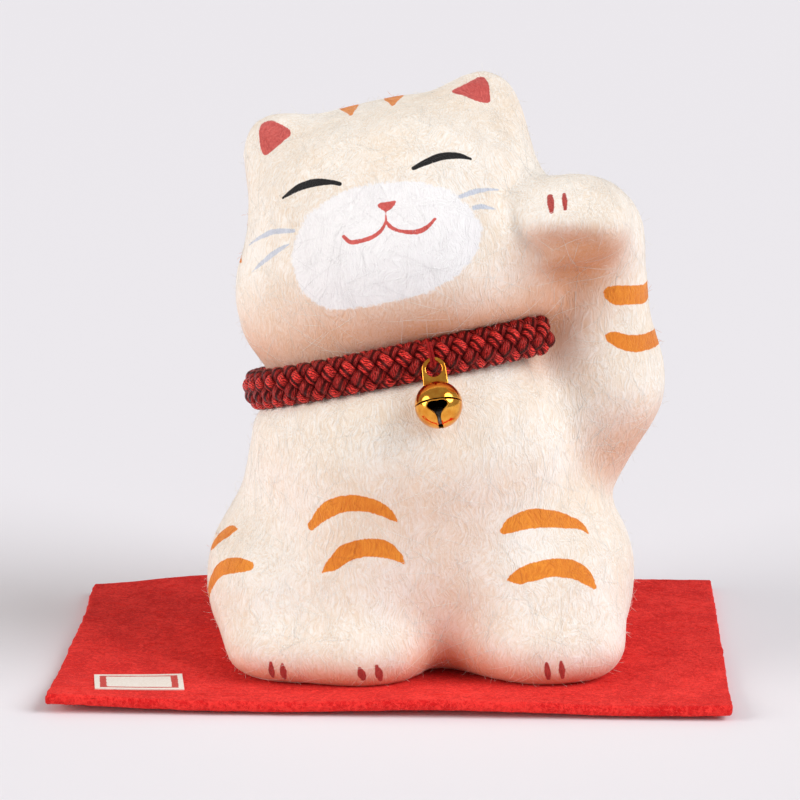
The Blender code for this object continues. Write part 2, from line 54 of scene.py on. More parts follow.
MM = 0.001
SAME_POINT = 0.01 * MM
PAPER_THICKNESS = 0.2 * MM
SKIN_FACET = 0.9 * MM
PLUG_SPREAD = 1.12
PLUG_LIFT = 0.6 * MM
RELAXING_ROUNDS = 22
RESTORING_ROUNDS = 60
SHELTER_RAYS = 32
SHELTER_START = 0.4 * MM
SHELTER_REACH = 70 * MM
SHELTER_ROUNDS = 48
GROUND_LIGHT = 0.25
FAINT_LIGHT = 0.04
# Size and height of the lumps that the paper dries into
LUMPS = ((9.0 * MM, 0.2 * MM), (3.5 * MM, 0.07 * MM))
# Places on the form in mm, how far round each the skin gives way in mm, and how deep it goes
PAW_UNDERSIDE = (32.0, -24.5, 85.5)
PAW_PRESS_SPREAD = (12.5, 7.5, 6.5)
PAW_PRESS = (0.0, 2.0 * MM, 0.3 * MM)
PAW_PRESS_ROUNDS = 290
PAW_FOLD = (
    (24.3, -14.9, 97.8), (22.8, -17.4, 96.7), (22.0, -19.3, 95.0), (22.2, -21.1, 92.8), (23.2, -22.0, 90.3),
    (24.9, -22.7, 87.6), (27.6, -21.6, 84.9),
)
PAW_FOLD_DEPTH = 1.3 * MM
PAW_FOLD_WIDTH = 2.0
BELL_REST = (5.4, -29.7, 57.2)
BELL_HOLLOW_SPREAD = (4.5, 4.0, 4.0)
BELL_HOLLOW = 0.45 * MM


def merged_copy(*nodes):
    """One bmesh of copies of these CAD nodes, with their loose triangles joined up."""
    copy = bmesh.new()
    for node in nodes:
        copy.from_mesh(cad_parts[node].data)
    bmesh.ops.remove_doubles(copy, verts=copy.verts, dist=SAME_POINT)
    copy.normal_update()
    return copy


def placed(name, mesh):
    """A new object at the origin with this mesh."""
    made = bpy.data.objects.new(name, mesh)
    bpy.context.scene.collection.objects.link(made)
    return made


def as_bmesh(mesh):
    shape = bmesh.new()
    shape.from_mesh(mesh)
    return shape


def put_back(shape, mesh):
    shape.to_mesh(mesh)
    shape.free()


def from_bmesh(name, shape):
    mesh = bpy.data.meshes.new(name)
    put_back(shape, mesh)
    return placed(name, mesh)


def baked(made):
    """Turns an object's modifiers into plain mesh."""
    graph = bpy.context.evaluated_depsgraph_get()
    mesh = bpy.data.meshes.new_from_object(
        made.evaluated_get(graph), preserve_all_data_layers=True, depsgraph=graph
    )
    made.modifiers.clear()
    made.data = mesh
    mesh.name = made.name
    return made


def vertex_table(mesh, field="co"):
    """Places or normals of a mesh's vertices, one row each."""
    table = np.empty(len(mesh.vertices) * 3, dtype=np.float32)
    mesh.vertices.foreach_get(field, table)
    return table.reshape(-1, 3).astype(float)


def set_points(mesh, points):
    mesh.vertices.foreach_set("co", points.astype(np.float32).ravel())
    mesh.update()


def edge_table(mesh):
    table = np.empty(len(mesh.edges) * 2, dtype=np.int32)
    mesh.edges.foreach_get("vertices", table)
    return table.reshape(-1, 2)


def relaxed(values, edges, rounds):
    """Rows of values after each is drawn halfway to the mean of its neighbours, so many times."""
    count = len(values)
    ends = np.concatenate([edges[:, 0], edges[:, 1]])
    others = np.concatenate([edges[:, 1], edges[:, 0]])
    neighbours = np.maximum(np.bincount(ends, minlength=count), 1)[:, None]
    for _ in range(rounds):
        columns = [np.bincount(ends, column[others], count) for column in values.T]
        values = 0.5 * values + 0.5 * np.stack(columns, axis=1) / neighbours
    return values


def outer_island(shape):
    """Drops every face of the bmesh that can't be reached from its highest point."""
    reached = set()
    waiting = [max(shape.verts, key=lambda vert: vert.co.z)]
    while waiting:
        vert = waiting.pop()
        if vert in reached:
            continue
        reached.add(vert)
        waiting += [edge.other_vert(vert) for edge in vert.link_edges]
    inner = [vert for vert in shape.verts if vert not in reached]
    bmesh.ops.delete(shape, geom=inner, context="VERTS")


def closed_pulp():
    """A bmesh of both shells, a sheet's thickness larger, with a plug over the base's card."""
    pulp = merged_copy("front_shell", "rear_shell")
    for vert in pulp.verts:
        vert.co += PAPER_THICKNESS * vert.normal
    plug = merged_copy("base_cover")
    cover_low, cover_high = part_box("base_cover")
    middle = (cover_low + cover_high) / 2
    spread = Matrix.Diagonal((PLUG_SPREAD, PLUG_SPREAD, 1))
    lift = Vector((0, 0, cover_high.z - cover_low.z + PLUG_LIFT))
    for vert in plug.verts:
        vert.co = middle + spread @ (vert.co - middle) + lift
    mesh = bpy.data.meshes.new("plug")
    put_back(plug, mesh)
    pulp.from_mesh(mesh)
    return pulp


def nearness(points, place, spread):
    """1 at a place, falling away smoothly over its spread. Both are in mm."""
    away = (points / MM - place) / spread
    return np.exp(-(away**2).sum(axis=1))


def pressed(points, edges):
    """The skin's points rubbed smooth, pressed round under the raised paw and folded in beside it.

    A shallow hollow is worn where the bell knocks on the chest.
    """
    smooth = relaxed(points, edges, RELAXING_ROUNDS)
    smooth += relaxed(points - smooth, edges, RESTORING_ROUNDS)
    near = nearness(smooth, PAW_UNDERSIDE, PAW_PRESS_SPREAD)[:, None]
    smooth += near * (relaxed(smooth + near * PAW_PRESS, edges, PAW_PRESS_ROUNDS) - smooth)
    smooth[:, 1] += BELL_HOLLOW * nearness(smooth, BELL_REST, BELL_HOLLOW_SPREAD)
    fold = flowing(PAW_FOLD)
    gap = outside_stroke(smooth / MM, fold, np.zeros(len(fold)))
    smooth[:, 1] += PAW_FOLD_DEPTH * np.exp(-((gap / PAW_FOLD_WIDTH) ** 2))
    return smooth


def pasted_skin():
    """One sheet over both shells, closed over the base's card."""
    skin = from_bmesh("washi_skin", closed_pulp())
    fuse = skin.modifiers.new("fuse", "REMESH")
    fuse.mode = "VOXEL"
    fuse.voxel_size = SKIN_FACET
    baked(skin)
    shape = as_bmesh(skin.data)
    outer_island(shape)
    put_back(shape, skin.data)
    set_points(skin.data, pressed(vertex_table(skin.data), edge_table(skin.data)))
    return skin


# Brush strokes of the painted face, stripes and claws: points on the form in mm, each with its half width
EYES = (
    (
        (-20.8, -17.5, 94.7, 0.06), (-19.0, -18.3, 96.1, 0.43), (-17.3, -18.9, 97.2, 0.61),
        (-14.4, -19.9, 98.2, 0.63), (-11.3, -20.9, 98.4, 0.33), (-9.8, -21.5, 98.2, 0.26),
    ),
    (
        (4.1, -21.7, 101.3, 0.27), (6.6, -20.9, 102.4, 0.53), (9.4, -20.0, 103.3, 0.63),
        (12.5, -19.4, 103.3, 0.45), (14.7, -19.0, 102.7, 0.06),
    ),
)
MOUTH = (
    ((-1.0, -25.4, 94.0, 0.2), (-0.9, -26.4, 92.0, 0.22)),
    (
        (-0.9, -26.4, 92.0, 0.26), (-1.8, -27.1, 90.5, 0.33), (-3.6, -27.4, 89.2, 0.39),
        (-5.7, -27.2, 88.5, 0.43), (-7.6, -26.9, 88.2, 0.39), (-8.9, -26.1, 89.1, 0.31),
    ),
    (
        (-0.9, -26.4, 92.0, 0.26), (0.3, -27.1, 90.9, 0.33), (2.7, -27.5, 90.3, 0.37),
        (5.2, -27.5, 90.4, 0.43), (7.0, -27.0, 91.3, 0.39), (8.2, -26.3, 92.5, 0.26),
    ),
)
WHISKERS = (
    (
        (-27.7, -10.3, 84.1, 0.06), (-25.0, -15.0, 86.8, 0.39),
        (-22.2, -18.2, 88.4, 0.47), (-18.5, -21.2, 89.1, 0.39),
    ),
    (
        (-27.0, -14.3, 79.7, 0.06), (-24.9, -16.7, 82.1, 0.43),
        (-22.1, -19.3, 84.7, 0.47), (-19.2, -21.4, 86.7, 0.1),
    ),
    (
        (12.9, -23.3, 96.2, 0.39), (14.9, -22.2, 96.8, 0.47),
        (17.4, -20.9, 97.2, 0.39), (20.1, -19.1, 96.9, 0.08),
    ),
    ((15.5, -23.4, 94.2, 0.43), (17.1, -22.7, 94.3, 0.45), (19.6, -21.6, 93.6, 0.06)),
)
CLAWS = (
    ((29.7, -19.7, 95.8, 0.5), (29.9, -21.5, 94.8, 0.62), (30.0, -23.1, 93.7, 0.35)),
    ((32.4, -19.7, 96.2, 0.3), (32.5, -21.5, 95.2, 0.45), (32.6, -22.9, 94.1, 0.35)),
    ((-22.9, -32.8, 7.2, 0.25), (-22.7, -32.2, 5.6, 0.62), (-22.5, -31.4, 4.0, 0.3)),
    ((-20.6, -33.1, 7.1, 0.25), (-20.4, -32.5, 5.5, 0.66), (-20.2, -31.7, 3.8, 0.3)),
    ((-5.7, -35.4, 7.1, 0.3), (-5.3, -35.1, 5.9, 0.74), (-5.0, -34.6, 4.7, 0.4)),
    ((-2.4, -35.0, 7.4, 0.3), (-2.0, -34.4, 5.8, 0.76), (-1.7, -33.6, 4.2, 0.35)),
    ((29.9, -33.1, 7.7, 0.25), (30.1, -32.5, 6.0, 0.6), (30.3, -31.8, 4.3, 0.3)),
    ((32.7, -32.9, 8.0, 0.25), (32.9, -32.4, 6.2, 0.6), (33.0, -31.7, 4.5, 0.3)),
)
STRIPES = (
    # Front leg
    (
        (-15.1, -28.1, 33.2, 0.7), (-12.4, -29.5, 36.4, 1.37), (-9.5, -30.6, 38.2, 1.47),
        (-6.4, -31.3, 38.7, 1.51), (-3.0, -31.6, 38.2, 1.27), (-0.4, -31.5, 36.8, 0.78),
        (1.3, -31.3, 35.2, 0.06),
    ),
    (
        (-12.9, -30.2, 24.7, 0.1), (-10.7, -30.7, 26.6, 1.18), (-8.2, -31.3, 28.9, 1.57),
        (-4.9, -31.6, 29.9, 1.61), (-1.7, -31.4, 29.8, 1.61), (1.1, -31.0, 28.4, 0.88),
        (2.6, -30.7, 26.7, 0.06),
    ),
    # Haunch below the raised arm
    (
        (21.4, -27.6, 32.6, 0.55), (23.3, -26.9, 33.6, 1.5), (26.3, -25.2, 34.2, 1.76),
        (30.3, -23.0, 33.6, 1.61), (34.4, -20.6, 32.2, 1.08), (36.3, -19.6, 31.1, 0.69),
        (37.6, -19.5, 29.8, 0.06),
    ),
    (
        (22.4, -29.4, 23.2, 0.06), (24.7, -29.1, 23.8, 1.3), (27.2, -28.5, 24.6, 1.57),
        (31.2, -27.4, 25.2, 1.63), (34.8, -26.1, 24.5, 1.67), (37.3, -25.3, 22.8, 1.37),
        (38.9, -24.8, 20.7, 0.4),
    ),
    # The other haunch
    (
        (-30.3, -14.9, 28.5, 0.1), (-32.2, -12.5, 27.4, 1.23), (-34.1, -10.1, 25.4, 1.4),
        (-35.3, -7.6, 23.4, 1.2), (-36.0, -4.5, 21.5, 0.1),
    ),
    (
        (-27.3, -23.3, 23.6, 0.8), (-30.2, -21.0, 23.1, 1.47), (-33.3, -17.7, 21.3, 1.5),
        (-35.2, -15.2, 18.5, 1.4), (-36.5, -11.4, 14.9, 1.0), (-37.0, -8.5, 12.2, 0.1),
    ),
    # Raised arm
    (
        (41.6, -11.3, 75.4, 1.3), (43.0, -10.9, 75.0, 1.8), (45.3, -9.4, 74.7, 1.75),
        (47.9, -6.1, 74.2, 1.7), (49.6, -3.9, 74.5, 1.6), (50.2, 1.5, 74.9, 1.3), (48.5, 6.5, 75.6, 0.1),
    ),
    (
        (40.8, -12.9, 67.5, 0.1), (42.5, -12.5, 66.8, 1.18), (45.5, -11.3, 65.6, 1.5),
        (48.4, -8.6, 65.2, 1.5), (50.9, -1.0, 64.9, 1.4), (50.0, 5.0, 65.2, 0.9), (47.5, 9.5, 66.0, 0.1),
    ),
    # Top and back of the head
    ((-8.4, -4.9, 108.4, 0.1), (-9.1, 4.0, 108.4, 1.65), (-9.6, 12.0, 106.0, 1.6), (-9.8, 21.5, 97.0, 0.1)),
    ((-0.5, -3.7, 110.2, 0.1), (-0.6, 4.0, 110.2, 1.7), (-0.8, 12.0, 108.0, 1.6), (-1.0, 22.0, 99.0, 0.1)),
    # Sides of the head
    ((-28.4, -4.4, 87.0, 0.1), (-29.0, 1.5, 87.4, 1.2), (-27.8, 8.0, 88.0, 1.3), (-24.0, 14.5, 88.6, 0.1)),
    ((-29.6, -6.8, 80.0, 0.1), (-31.0, 0.0, 80.2, 1.2), (-30.5, 7.0, 80.6, 1.3), (-27.5, 14.0, 81.2, 0.1)),
    ((24.0, 11.0, 99.2, 0.1), (22.0, 14.5, 98.6, 1.2), (19.0, 17.5, 98.0, 1.2), (15.0, 20.0, 97.4, 0.1)),
    ((27.0, 12.0, 91.2, 0.1), (24.5, 15.5, 90.6, 1.2), (21.0, 18.5, 90.0, 1.2), (16.5, 21.0, 89.4, 0.1)),
    # Back
    (
        (-14.0, 19.0, 44.5, 0.1), (-6.0, 23.0, 47.0, 1.4), (3.0, 24.5, 48.0, 1.6),
        (12.0, 22.5, 47.0, 1.4), (19.0, 19.0, 44.5, 0.1),
    ),
    (
        (-18.0, 21.0, 34.0, 0.1), (-8.0, 26.0, 37.0, 1.5), (3.0, 27.5, 38.0, 1.7),
        (14.0, 25.5, 37.0, 1.5), (23.0, 20.5, 34.0, 0.1),
    ),
    # Tail
    ((9.0, 38.0, 17.0, 0.1), (14.0, 41.0, 18.5, 1.4), (21.0, 38.0, 15.5, 0.1)),
    ((12.5, 36.5, 25.5, 0.1), (17.5, 40.5, 26.0, 1.4), (24.0, 37.5, 23.0, 0.1)),
)

# Outlines of the painted patches, as seen from the front: places across and up in mm
MUZZLE = (
    (-18.8, 84.1), (-18.1, 88.4), (-15.4, 92.8), (-11.0, 96.0), (-5.2, 98.1), (2.0, 99.1), (8.5, 98.3),
    (12.8, 96.2), (16.4, 92.0), (17.1, 90.0), (16.1, 86.2), (12.9, 82.5), (7.6, 79.3), (1.5, 77.5),
    (-5.0, 76.0), (-10.1, 75.1), (-13.8, 75.7), (-16.8, 78.2), (-18.3, 80.9),
)
NOSE = ((-2.6, 95.0), (-0.8, 95.5), (0.9, 95.7), (0.2, 94.5), (-0.8, 93.8), (-1.7, 94.1))
EARS = (
    (
        (-26.3, 105.7), (-25.2, 106.6), (-23.3, 106.7), (-20.0, 105.2),
        (-22.5, 102.9), (-24.7, 101.0), (-25.7, 101.5), (-26.3, 103.4),
    ),
    (
        (10.8, 113.0), (13.5, 114.4), (16.2, 115.5), (17.7, 114.7),
        (18.1, 113.0), (18.0, 111.4), (15.7, 111.6), (13.2, 112.5),
    ),
)
FACE_PATCHES_BEFORE = 0.25
SPAN_STEPS = 6
PAINT_REACH = 7.0
LEAST_HALF_WIDTH = 0.02
TINY = 1e-12
PAINTS = ("white_paint", "grey_paint", "red_paint", "claw_paint", "orange_paint", "black_paint")
# Each paint, its strokes and how far it soaks out past the brush, in mm
BRUSHWORK = (
    ("black_paint", EYES, 0.15),
    ("red_paint", MOUTH, 0.01),
    ("claw_paint", CLAWS, 0.03),
    ("grey_paint", WHISKERS, 0.03),
    ("orange_paint", STRIPES, 0.13),
)
FINE_MARGIN = 1.0
FINE_CUTS = 3


def flowing(points, closed=False):
    """Points of a smooth curve through the given ones."""
    points = np.array(points, dtype=float)
    if closed:
        run = np.concatenate([points[-1:], points, points[:2]])
    else:
        run = np.concatenate([2 * points[:1] - points[1:2], points, 2 * points[-1:] - points[-2:-1]])
    share = np.arange(SPAN_STEPS)[:, None] / SPAN_STEPS
    spans = []
    for before, start, end, after in zip(run, run[1:], run[2:], run[3:]):
        bend = 2 * before - 5 * start + 4 * end - after
        twist = 3 * (start - end) + after - before
        spans.append(start + 0.5 * share * (end - before + share * (bend + share * twist)))
    if not closed:
        spans.append(points[-1:])
    return np.concatenate(spans)


def laid_stroke(tree, stroke, soak):
    """A stroke's points laid on the skin, in mm, and its half widths once the paint has soaked out."""
    run = flowing(stroke)
    laid = [np.array(tree.find_nearest(Vector(point * MM))[0]) / MM for point in run[:, :3]]
    return np.array(laid), np.maximum(run[:, 3], LEAST_HALF_WIDTH) + soak


def outside_stroke(points, path, widths):
    """How far each point lies outside a tapered stroke, in mm."""
    away = np.full(len(points), PAINT_REACH)
    near = np.all((points > path.min(0) - PAINT_REACH) & (points < path.max(0) + PAINT_REACH), axis=1)
    here = points[near]
    least = np.full(len(here), PAINT_REACH)
    for start, end, first, last in zip(path, path[1:], widths, widths[1:]):
        along = end - start
        share = np.clip((here - start) @ along / max(along @ along, TINY), 0, 1)
        gap = np.linalg.norm(here - start - share[:, None] * along, axis=1)
        least = np.minimum(least, gap - first - share * (last - first))
    away[near] = least
    return away


def outside_patch(points, facing, outline):
    """How far each point that faces the front lies outside a patch drawn from the front, in mm."""
    outline = flowing(outline, closed=True)
    flat = points[:, (0, 2)]
    away = np.full(len(points), PAINT_REACH)
    near = np.all((flat > outline.min(0) - PAINT_REACH) & (flat < outline.max(0) + PAINT_REACH), axis=1)
    near &= facing < FACE_PATCHES_BEFORE
    here = flat[near]
    gap = np.full(len(here), PAINT_REACH)
    inside = np.zeros(len(here), dtype=bool)
    for start, end in zip(outline, np.roll(outline, -1, axis=0)):
        along = end - start
        share = np.clip((here - start) @ along / max(along @ along, TINY), 0, 1)
        gap = np.minimum(gap, np.linalg.norm(here - start - share[:, None] * along, axis=1))
        spans = (start[1] > here[:, 1]) != (end[1] > here[:, 1])
        rise = along[1] if abs(along[1]) > TINY else TINY
        inside ^= spans & (here[:, 0] < start[0] + (here[:, 1] - start[1]) * along[0] / rise)
    away[near] = np.where(inside, -gap, gap)
    return away


def paint_distances(mesh, strokes):
    """For each paint, how far every vertex lies outside its nearest mark, in mm."""
    points = vertex_table(mesh) / MM
    facing = vertex_table(mesh, "normal")[:, 1]
    marks = {paint: [np.full(len(points), PAINT_REACH)] for paint in PAINTS}
    for paint, path, widths in strokes:
        marks[paint].append(outside_stroke(points, path, widths))
    marks["white_paint"].append(outside_patch(points, facing, MUZZLE))
    for outline in (NOSE, *EARS):
        marks["red_paint"].append(outside_patch(points, facing, outline))
    return {paint: np.min(found, axis=0) for paint, found in marks.items()}


def refined(skin, distances):
    """Cuts the facets finer along the edges of the painted marks."""
    edge_gap = np.min([np.abs(found) for found in distances.values()], axis=0)
    fine = edge_gap < FINE_MARGIN
    shape = as_bmesh(skin.data)
    edges = [edge for edge in shape.edges if all(fine[vert.index] for vert in edge.verts)]
    bmesh.ops.subdivide_edges(shape, edges=edges, cuts=FINE_CUTS, use_grid_fill=True)
    put_back(shape, skin.data)


def lumpy(mesh):
    """Raises the soft lumps that pasted paper dries into."""
    points = vertex_table(mesh)
    normals = vertex_table(mesh, "normal")
    raised = np.zeros(len(points))
    for size, height in LUMPS:
        raised += height * np.array([noise.noise(Vector(point / size)) for point in points])
    set_points(mesh, points + raised[:, None] * normals)


def shelter(mesh, tree):
    """How far each vertex is shut off from the light above and around it, from 0 in the open to 1."""
    points = vertex_table(mesh)
    normals = vertex_table(mesh, "normal")
    steps = np.arange(SHELTER_RAYS) + 0.5
    height = 1 - 2 * steps / SHELTER_RAYS
    turn = math.pi * (1 + math.sqrt(5)) * steps
    flat = np.sqrt(1 - height * height)
    rays = np.stack([flat * np.cos(turn), flat * np.sin(turn), height], axis=1)
    lean = np.maximum(normals @ rays.T, 0)
    seen = lean * np.where(height > 0, 1.0, GROUND_LIGHT)
    ways = [Vector(ray) for ray in rays]
    for row, start in enumerate(points + SHELTER_START * normals):
        start = Vector(start)
        for column in np.flatnonzero(seen[row] > FAINT_LIGHT):
            if tree.ray_cast(start, ways[column], SHELTER_REACH)[0] is not None:
                seen[row, column] = 0
    closed = 1 - seen.sum(axis=1) / lean.sum(axis=1)
    return relaxed(closed[:, None], edge_table(mesh), SHELTER_ROUNDS)[:, 0]


def set_attribute(mesh, name, values):
    layer = mesh.attributes.get(name) or mesh.attributes.new(name, "FLOAT", "POINT")
    layer.data.foreach_set("value", np.asarray(values, dtype=np.float32))


def painted_skin():
    """The pasted skin, which keeps its shelter and the distance to each paint's marks on its vertices."""
    skin = pasted_skin()
    shape = as_bmesh(skin.data)
    tree = BVHTree.FromBMesh(shape)
    shape.free()
    strokes = []
    for paint, group, soak in BRUSHWORK:
        strokes += [(paint, *laid_stroke(tree, stroke, soak)) for stroke in group]
    # Kept for the painted shade in the paper's colour
    set_attribute(skin.data, "shelter", shelter(skin.data, tree))
    refined(skin, paint_distances(skin.data, strokes))
    for paint, found in paint_distances(skin.data, strokes).items():
        set_attribute(skin.data, paint, found)
    lumpy(skin.data)
    skin.data.shade_smooth()
    return skin


def colour(red, green, blue):
    """A colour written in levels of 0 to 255, as the shaders take it."""
    shares = [level / 255 for level in (red, green, blue)]
    return (*[s / 12.92 if s <= 0.04045 else ((s + 0.055) / 1.055) ** 2.4 for s in shares], 1.0)


def fill(tree, node, inputs):
    """Sets a node's inputs to values, or links them to other nodes' outputs."""
    for key, value in inputs.items():
        if isinstance(value, bpy.types.NodeSocket):
            tree.links.new(value, node.inputs[key])
        else:
            node.inputs[key].default_value = value


def add_node(tree, kind, inputs, **settings):
    """A new node with these settings and inputs."""
    made = tree.nodes.new(kind)
    for name, value in settings.items():
        setattr(made, name, value)
    fill(tree, made, inputs)
    return made


def result(tree, kind, inputs, **settings):
    """The first output of a new node."""
    return add_node(tree, kind, inputs, **settings).outputs[0]


def maths(tree, operation, *values):
    return result(tree, "ShaderNodeMath", dict(enumerate(values)), operation=operation)


def vectors(tree, operation, *values):
    return result(tree, "ShaderNodeVectorMath", dict(enumerate(values)), operation=operation)


def scaled(tree, vector, factor):
    return result(tree, "ShaderNodeVectorMath", {0: vector, 3: factor}, operation="SCALE")


def mottle(tree, vector, size, detail=2.0, roughness=0.5, output=0):
    """Noise with lumps of this size."""
    values = {"Vector": vector, "Scale": 1 / size, "Detail": detail, "Roughness": roughness}
    return add_node(tree, "ShaderNodeTexNoise", values).outputs[output]


def ramp(tree, value, low, high):
    """Rises smoothly from 0 at the first value to 1 at the second."""
    values = {0: value, 1: low, 2: high}
    return result(tree, "ShaderNodeMapRange", values, interpolation_type="SMOOTHSTEP")


def mixed(tree, factor, first, second):
    return add_node(tree, "ShaderNodeMix", {0: factor, 6: first, 7: second}, data_type="RGBA").outputs[2]


def shader_group(name, values, outputs):
    """An empty group of shader nodes that takes a place and these values, its inputs and its output node."""
    group = bpy.data.node_groups.new(name, "ShaderNodeTree")
    group.interface.new_socket("Vector", in_out="INPUT", socket_type="NodeSocketVector")
    for labels, way in ((values, "INPUT"), (outputs, "OUTPUT")):
        for label in labels:
            group.interface.new_socket(label, in_out=way, socket_type="NodeSocketFloat")
    return group, group.nodes.new("NodeGroupInput").outputs, group.nodes.new("NodeGroupOutput")


STREAK_WANDER = 6 * MM
STREAK_WANDER_SIZE = 7 * MM
STREAK_WIDTH = 0.34 * MM
STREAK_STRETCH = 10
# Turns of the three ways that the paper was brushed, and how far each pattern is shifted
BRUSHINGS = (((0.3, 0.2, 0.4), 0.0), ((0.2, 1.3, 1.9), 0.3), ((1.4, 0.1, 0.9), 0.7))
SHEET_SIZE = 9 * MM
PAPER_GRAIN = 0.2 * MM
PAPER_CLOUD = 15 * MM
PAPER_RELIEF = 0.27 * MM
RAGGED_EDGE = 0.55 * MM
WAVERING_EDGE = 2.2 * MM


def paper_group():
    """Brushed streaks and fine grain of pasted paper, as a height and a tone."""
    group, given, end = shader_group("Pasted paper", (), ("Tone", "Height"))
    place = given["Vector"]
    wander = mottle(group, place, STREAK_WANDER_SIZE, output="Color")
    wander = vectors(group, "SUBTRACT", wander, (0.5, 0.5, 0.5))
    bent = vectors(group, "ADD", place, scaled(group, wander, STREAK_WANDER))
    streaks = []
    for turn, shift in BRUSHINGS:
        values = {
            "Vector": bent,
            "Location": (shift, shift, shift),
            "Rotation": turn,
            "Scale": (1.0, 1.0, 1 / STREAK_STRETCH),
        }
        stretched = result(group, "ShaderNodeMapping", values)
        streaks.append(mottle(group, stretched, STREAK_WIDTH, 2.0, 0.6))
    sheet = mottle(group, place, SHEET_SIZE, 0.0, output="Color")
    shares = add_node(group, "ShaderNodeSeparateColor", {0: sheet}).outputs
    first = ramp(group, shares[0], 0.44, 0.56)
    second = ramp(group, shares[1], 0.44, 0.56)
    streak = result(group, "ShaderNodeMix", {0: first, 2: streaks[0], 3: streaks[1]})
    streak = result(group, "ShaderNodeMix", {0: second, 2: streak, 3: streaks[2]})
    grain = mottle(group, place, PAPER_GRAIN, 3.0, 0.65)
    height = maths(group, "MULTIPLY_ADD", grain, 0.35, streak)
    tone = maths(group, "MULTIPLY_ADD", streak, 0.8, maths(group, "MULTIPLY", grain, 0.3))
    tone = maths(group, "MULTIPLY_ADD", mottle(group, place, PAPER_CLOUD), 0.4, tone)
    fill(group, end, {"Tone": tone, "Height": height})
    return group


def brush_group():
    """Cover of a brushed mark from the distance to its outline in mm, as its edge creeps along the fibres."""
    group, given, end = shader_group("Brushed paint", ("Distance", "Creep", "Softness"), ("Cover",))
    place = given["Vector"]
    ragged = maths(group, "SUBTRACT", mottle(group, place, RAGGED_EDGE, 2.0, 0.6), 0.5)
    wavering = maths(group, "SUBTRACT", mottle(group, place, WAVERING_EDGE, 1.0), 0.5)
    creep = maths(group, "MULTIPLY", maths(group, "ADD", ragged, wavering), given["Creep"])
    edge = maths(group, "ADD", given["Distance"], creep)
    sharp = maths(group, "DIVIDE", edge, given["Softness"])
    fill(group, end, {"Cover": ramp(group, sharp, 1.0, -1.0)})
    return group


def new_material(name):
    """An empty material, its shader and its object coordinates."""
    finish = bpy.data.materials.new(name)
    finish.use_nodes = True
    shader = finish.node_tree.nodes["Principled BSDF"]
    place = add_node(finish.node_tree, "ShaderNodeTexCoord", {}).outputs["Object"]
    return finish, finish.node_tree, shader, place


def attribute(tree, name):
    return add_node(tree, "ShaderNodeAttribute", {}, attribute_name=name).outputs["Fac"]


def in_group(tree, group, **inputs):
    return add_node(tree, "ShaderNodeGroup", inputs, node_tree=group).outputs


def bumped(tree, height, depth):
    """The normal of a surface with relief of this depth."""
    return result(tree, "ShaderNodeBump", {"Height": height, "Distance": depth, "Strength": 1.0})


def dress(piece, finish):
    """Gives a piece this one material."""
    piece.data.materials.clear()
    piece.data.materials.append(finish)


PAPER_PALE = colour(254, 248, 241)
PAPER_WARM = colour(240, 221, 200)
# Painted shade: the warmer, darker colour that the paper is painted where little light reaches it
PAPER_PAINTED_SHADE = colour(224, 140, 80)
FIBRE_PALE = colour(255, 252, 246)
# Each paint's thin and thick colours, how far its edge creeps along the fibres and how soft it is, in mm
PAINT_LOOKS = (
    ("white_paint", colour(253, 251, 251), colour(243, 239, 240), 1.2, 0.3),
    ("grey_paint", colour(216, 219, 229), colour(196, 201, 214), 0.3, 0.1),
    ("red_paint", colour(224, 104, 96), colour(190, 68, 64), 0.28, 0.08),
    ("claw_paint", colour(192, 74, 66), colour(156, 42, 40), 0.3, 0.09),
    ("orange_paint", colour(246, 154, 48), colour(222, 118, 28), 0.4, 0.1),
    ("black_paint", colour(22, 18, 20), colour(8, 7, 8), 0.16, 0.07),
)


def paper_finish():
    finish, tree, shader, place = new_material("pasted_paper")
    paper = in_group(tree, paper_group(), Vector=place)
    bare = mixed(tree, ramp(tree, paper["Tone"], 0.55, 0.95), PAPER_WARM, PAPER_PALE)
    # Painted shade: warmer and darker where the skin is shut off from the light, in creases and under
    # overhangs
    painted_shade = ramp(tree, attribute(tree, "shelter"), 0.32, 0.7)
    streaked = maths(tree, "MULTIPLY_ADD", paper["Tone"], -0.5, 1.2)
    bare = mixed(tree, maths(tree, "MULTIPLY", painted_shade, streaked), bare, PAPER_PAINTED_SHADE)
    loose = maths(tree, "MULTIPLY", attribute(tree, "loose_fibre"), 0.8)
    look = mixed(tree, loose, bare, FIBRE_PALE)
    brush = brush_group()
    painted = None
    for name, pale, deep, creep, softness in PAINT_LOOKS:
        inputs = {"Distance": attribute(tree, name), "Creep": creep, "Softness": softness}
        cover = in_group(tree, brush, Vector=place, **inputs)["Cover"]
        paint = mixed(tree, ramp(tree, paper["Tone"], 0.5, 1.0), deep, pale)
        look = mixed(tree, cover, look, paint)
        painted = cover if painted is None else maths(tree, "MAXIMUM", painted, cover)
    looks = {
        "Base Color": look,
        "Roughness": maths(tree, "MULTIPLY_ADD", painted, -0.22, 0.92),
        "Specular IOR Level": 0.25,
        "Sheen Weight": 0.2,
        "Sheen Roughness": 0.5,
        "Normal": bumped(tree, paper["Height"], PAPER_RELIEF),
    }
    fill(tree, shader, looks)
    return finish


skin = painted_skin()
pasted_paper = paper_finish()
dress(skin, pasted_paper)
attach(skin, "cat")
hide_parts("front_shell", "rear_shell")


# Loose fibres.
# The paper is torn, not cut, and brushed down with paste, so long fibres lie on top of it and short ones
# stand off as fuzz round the edges. They are the paper's own and take its paint.

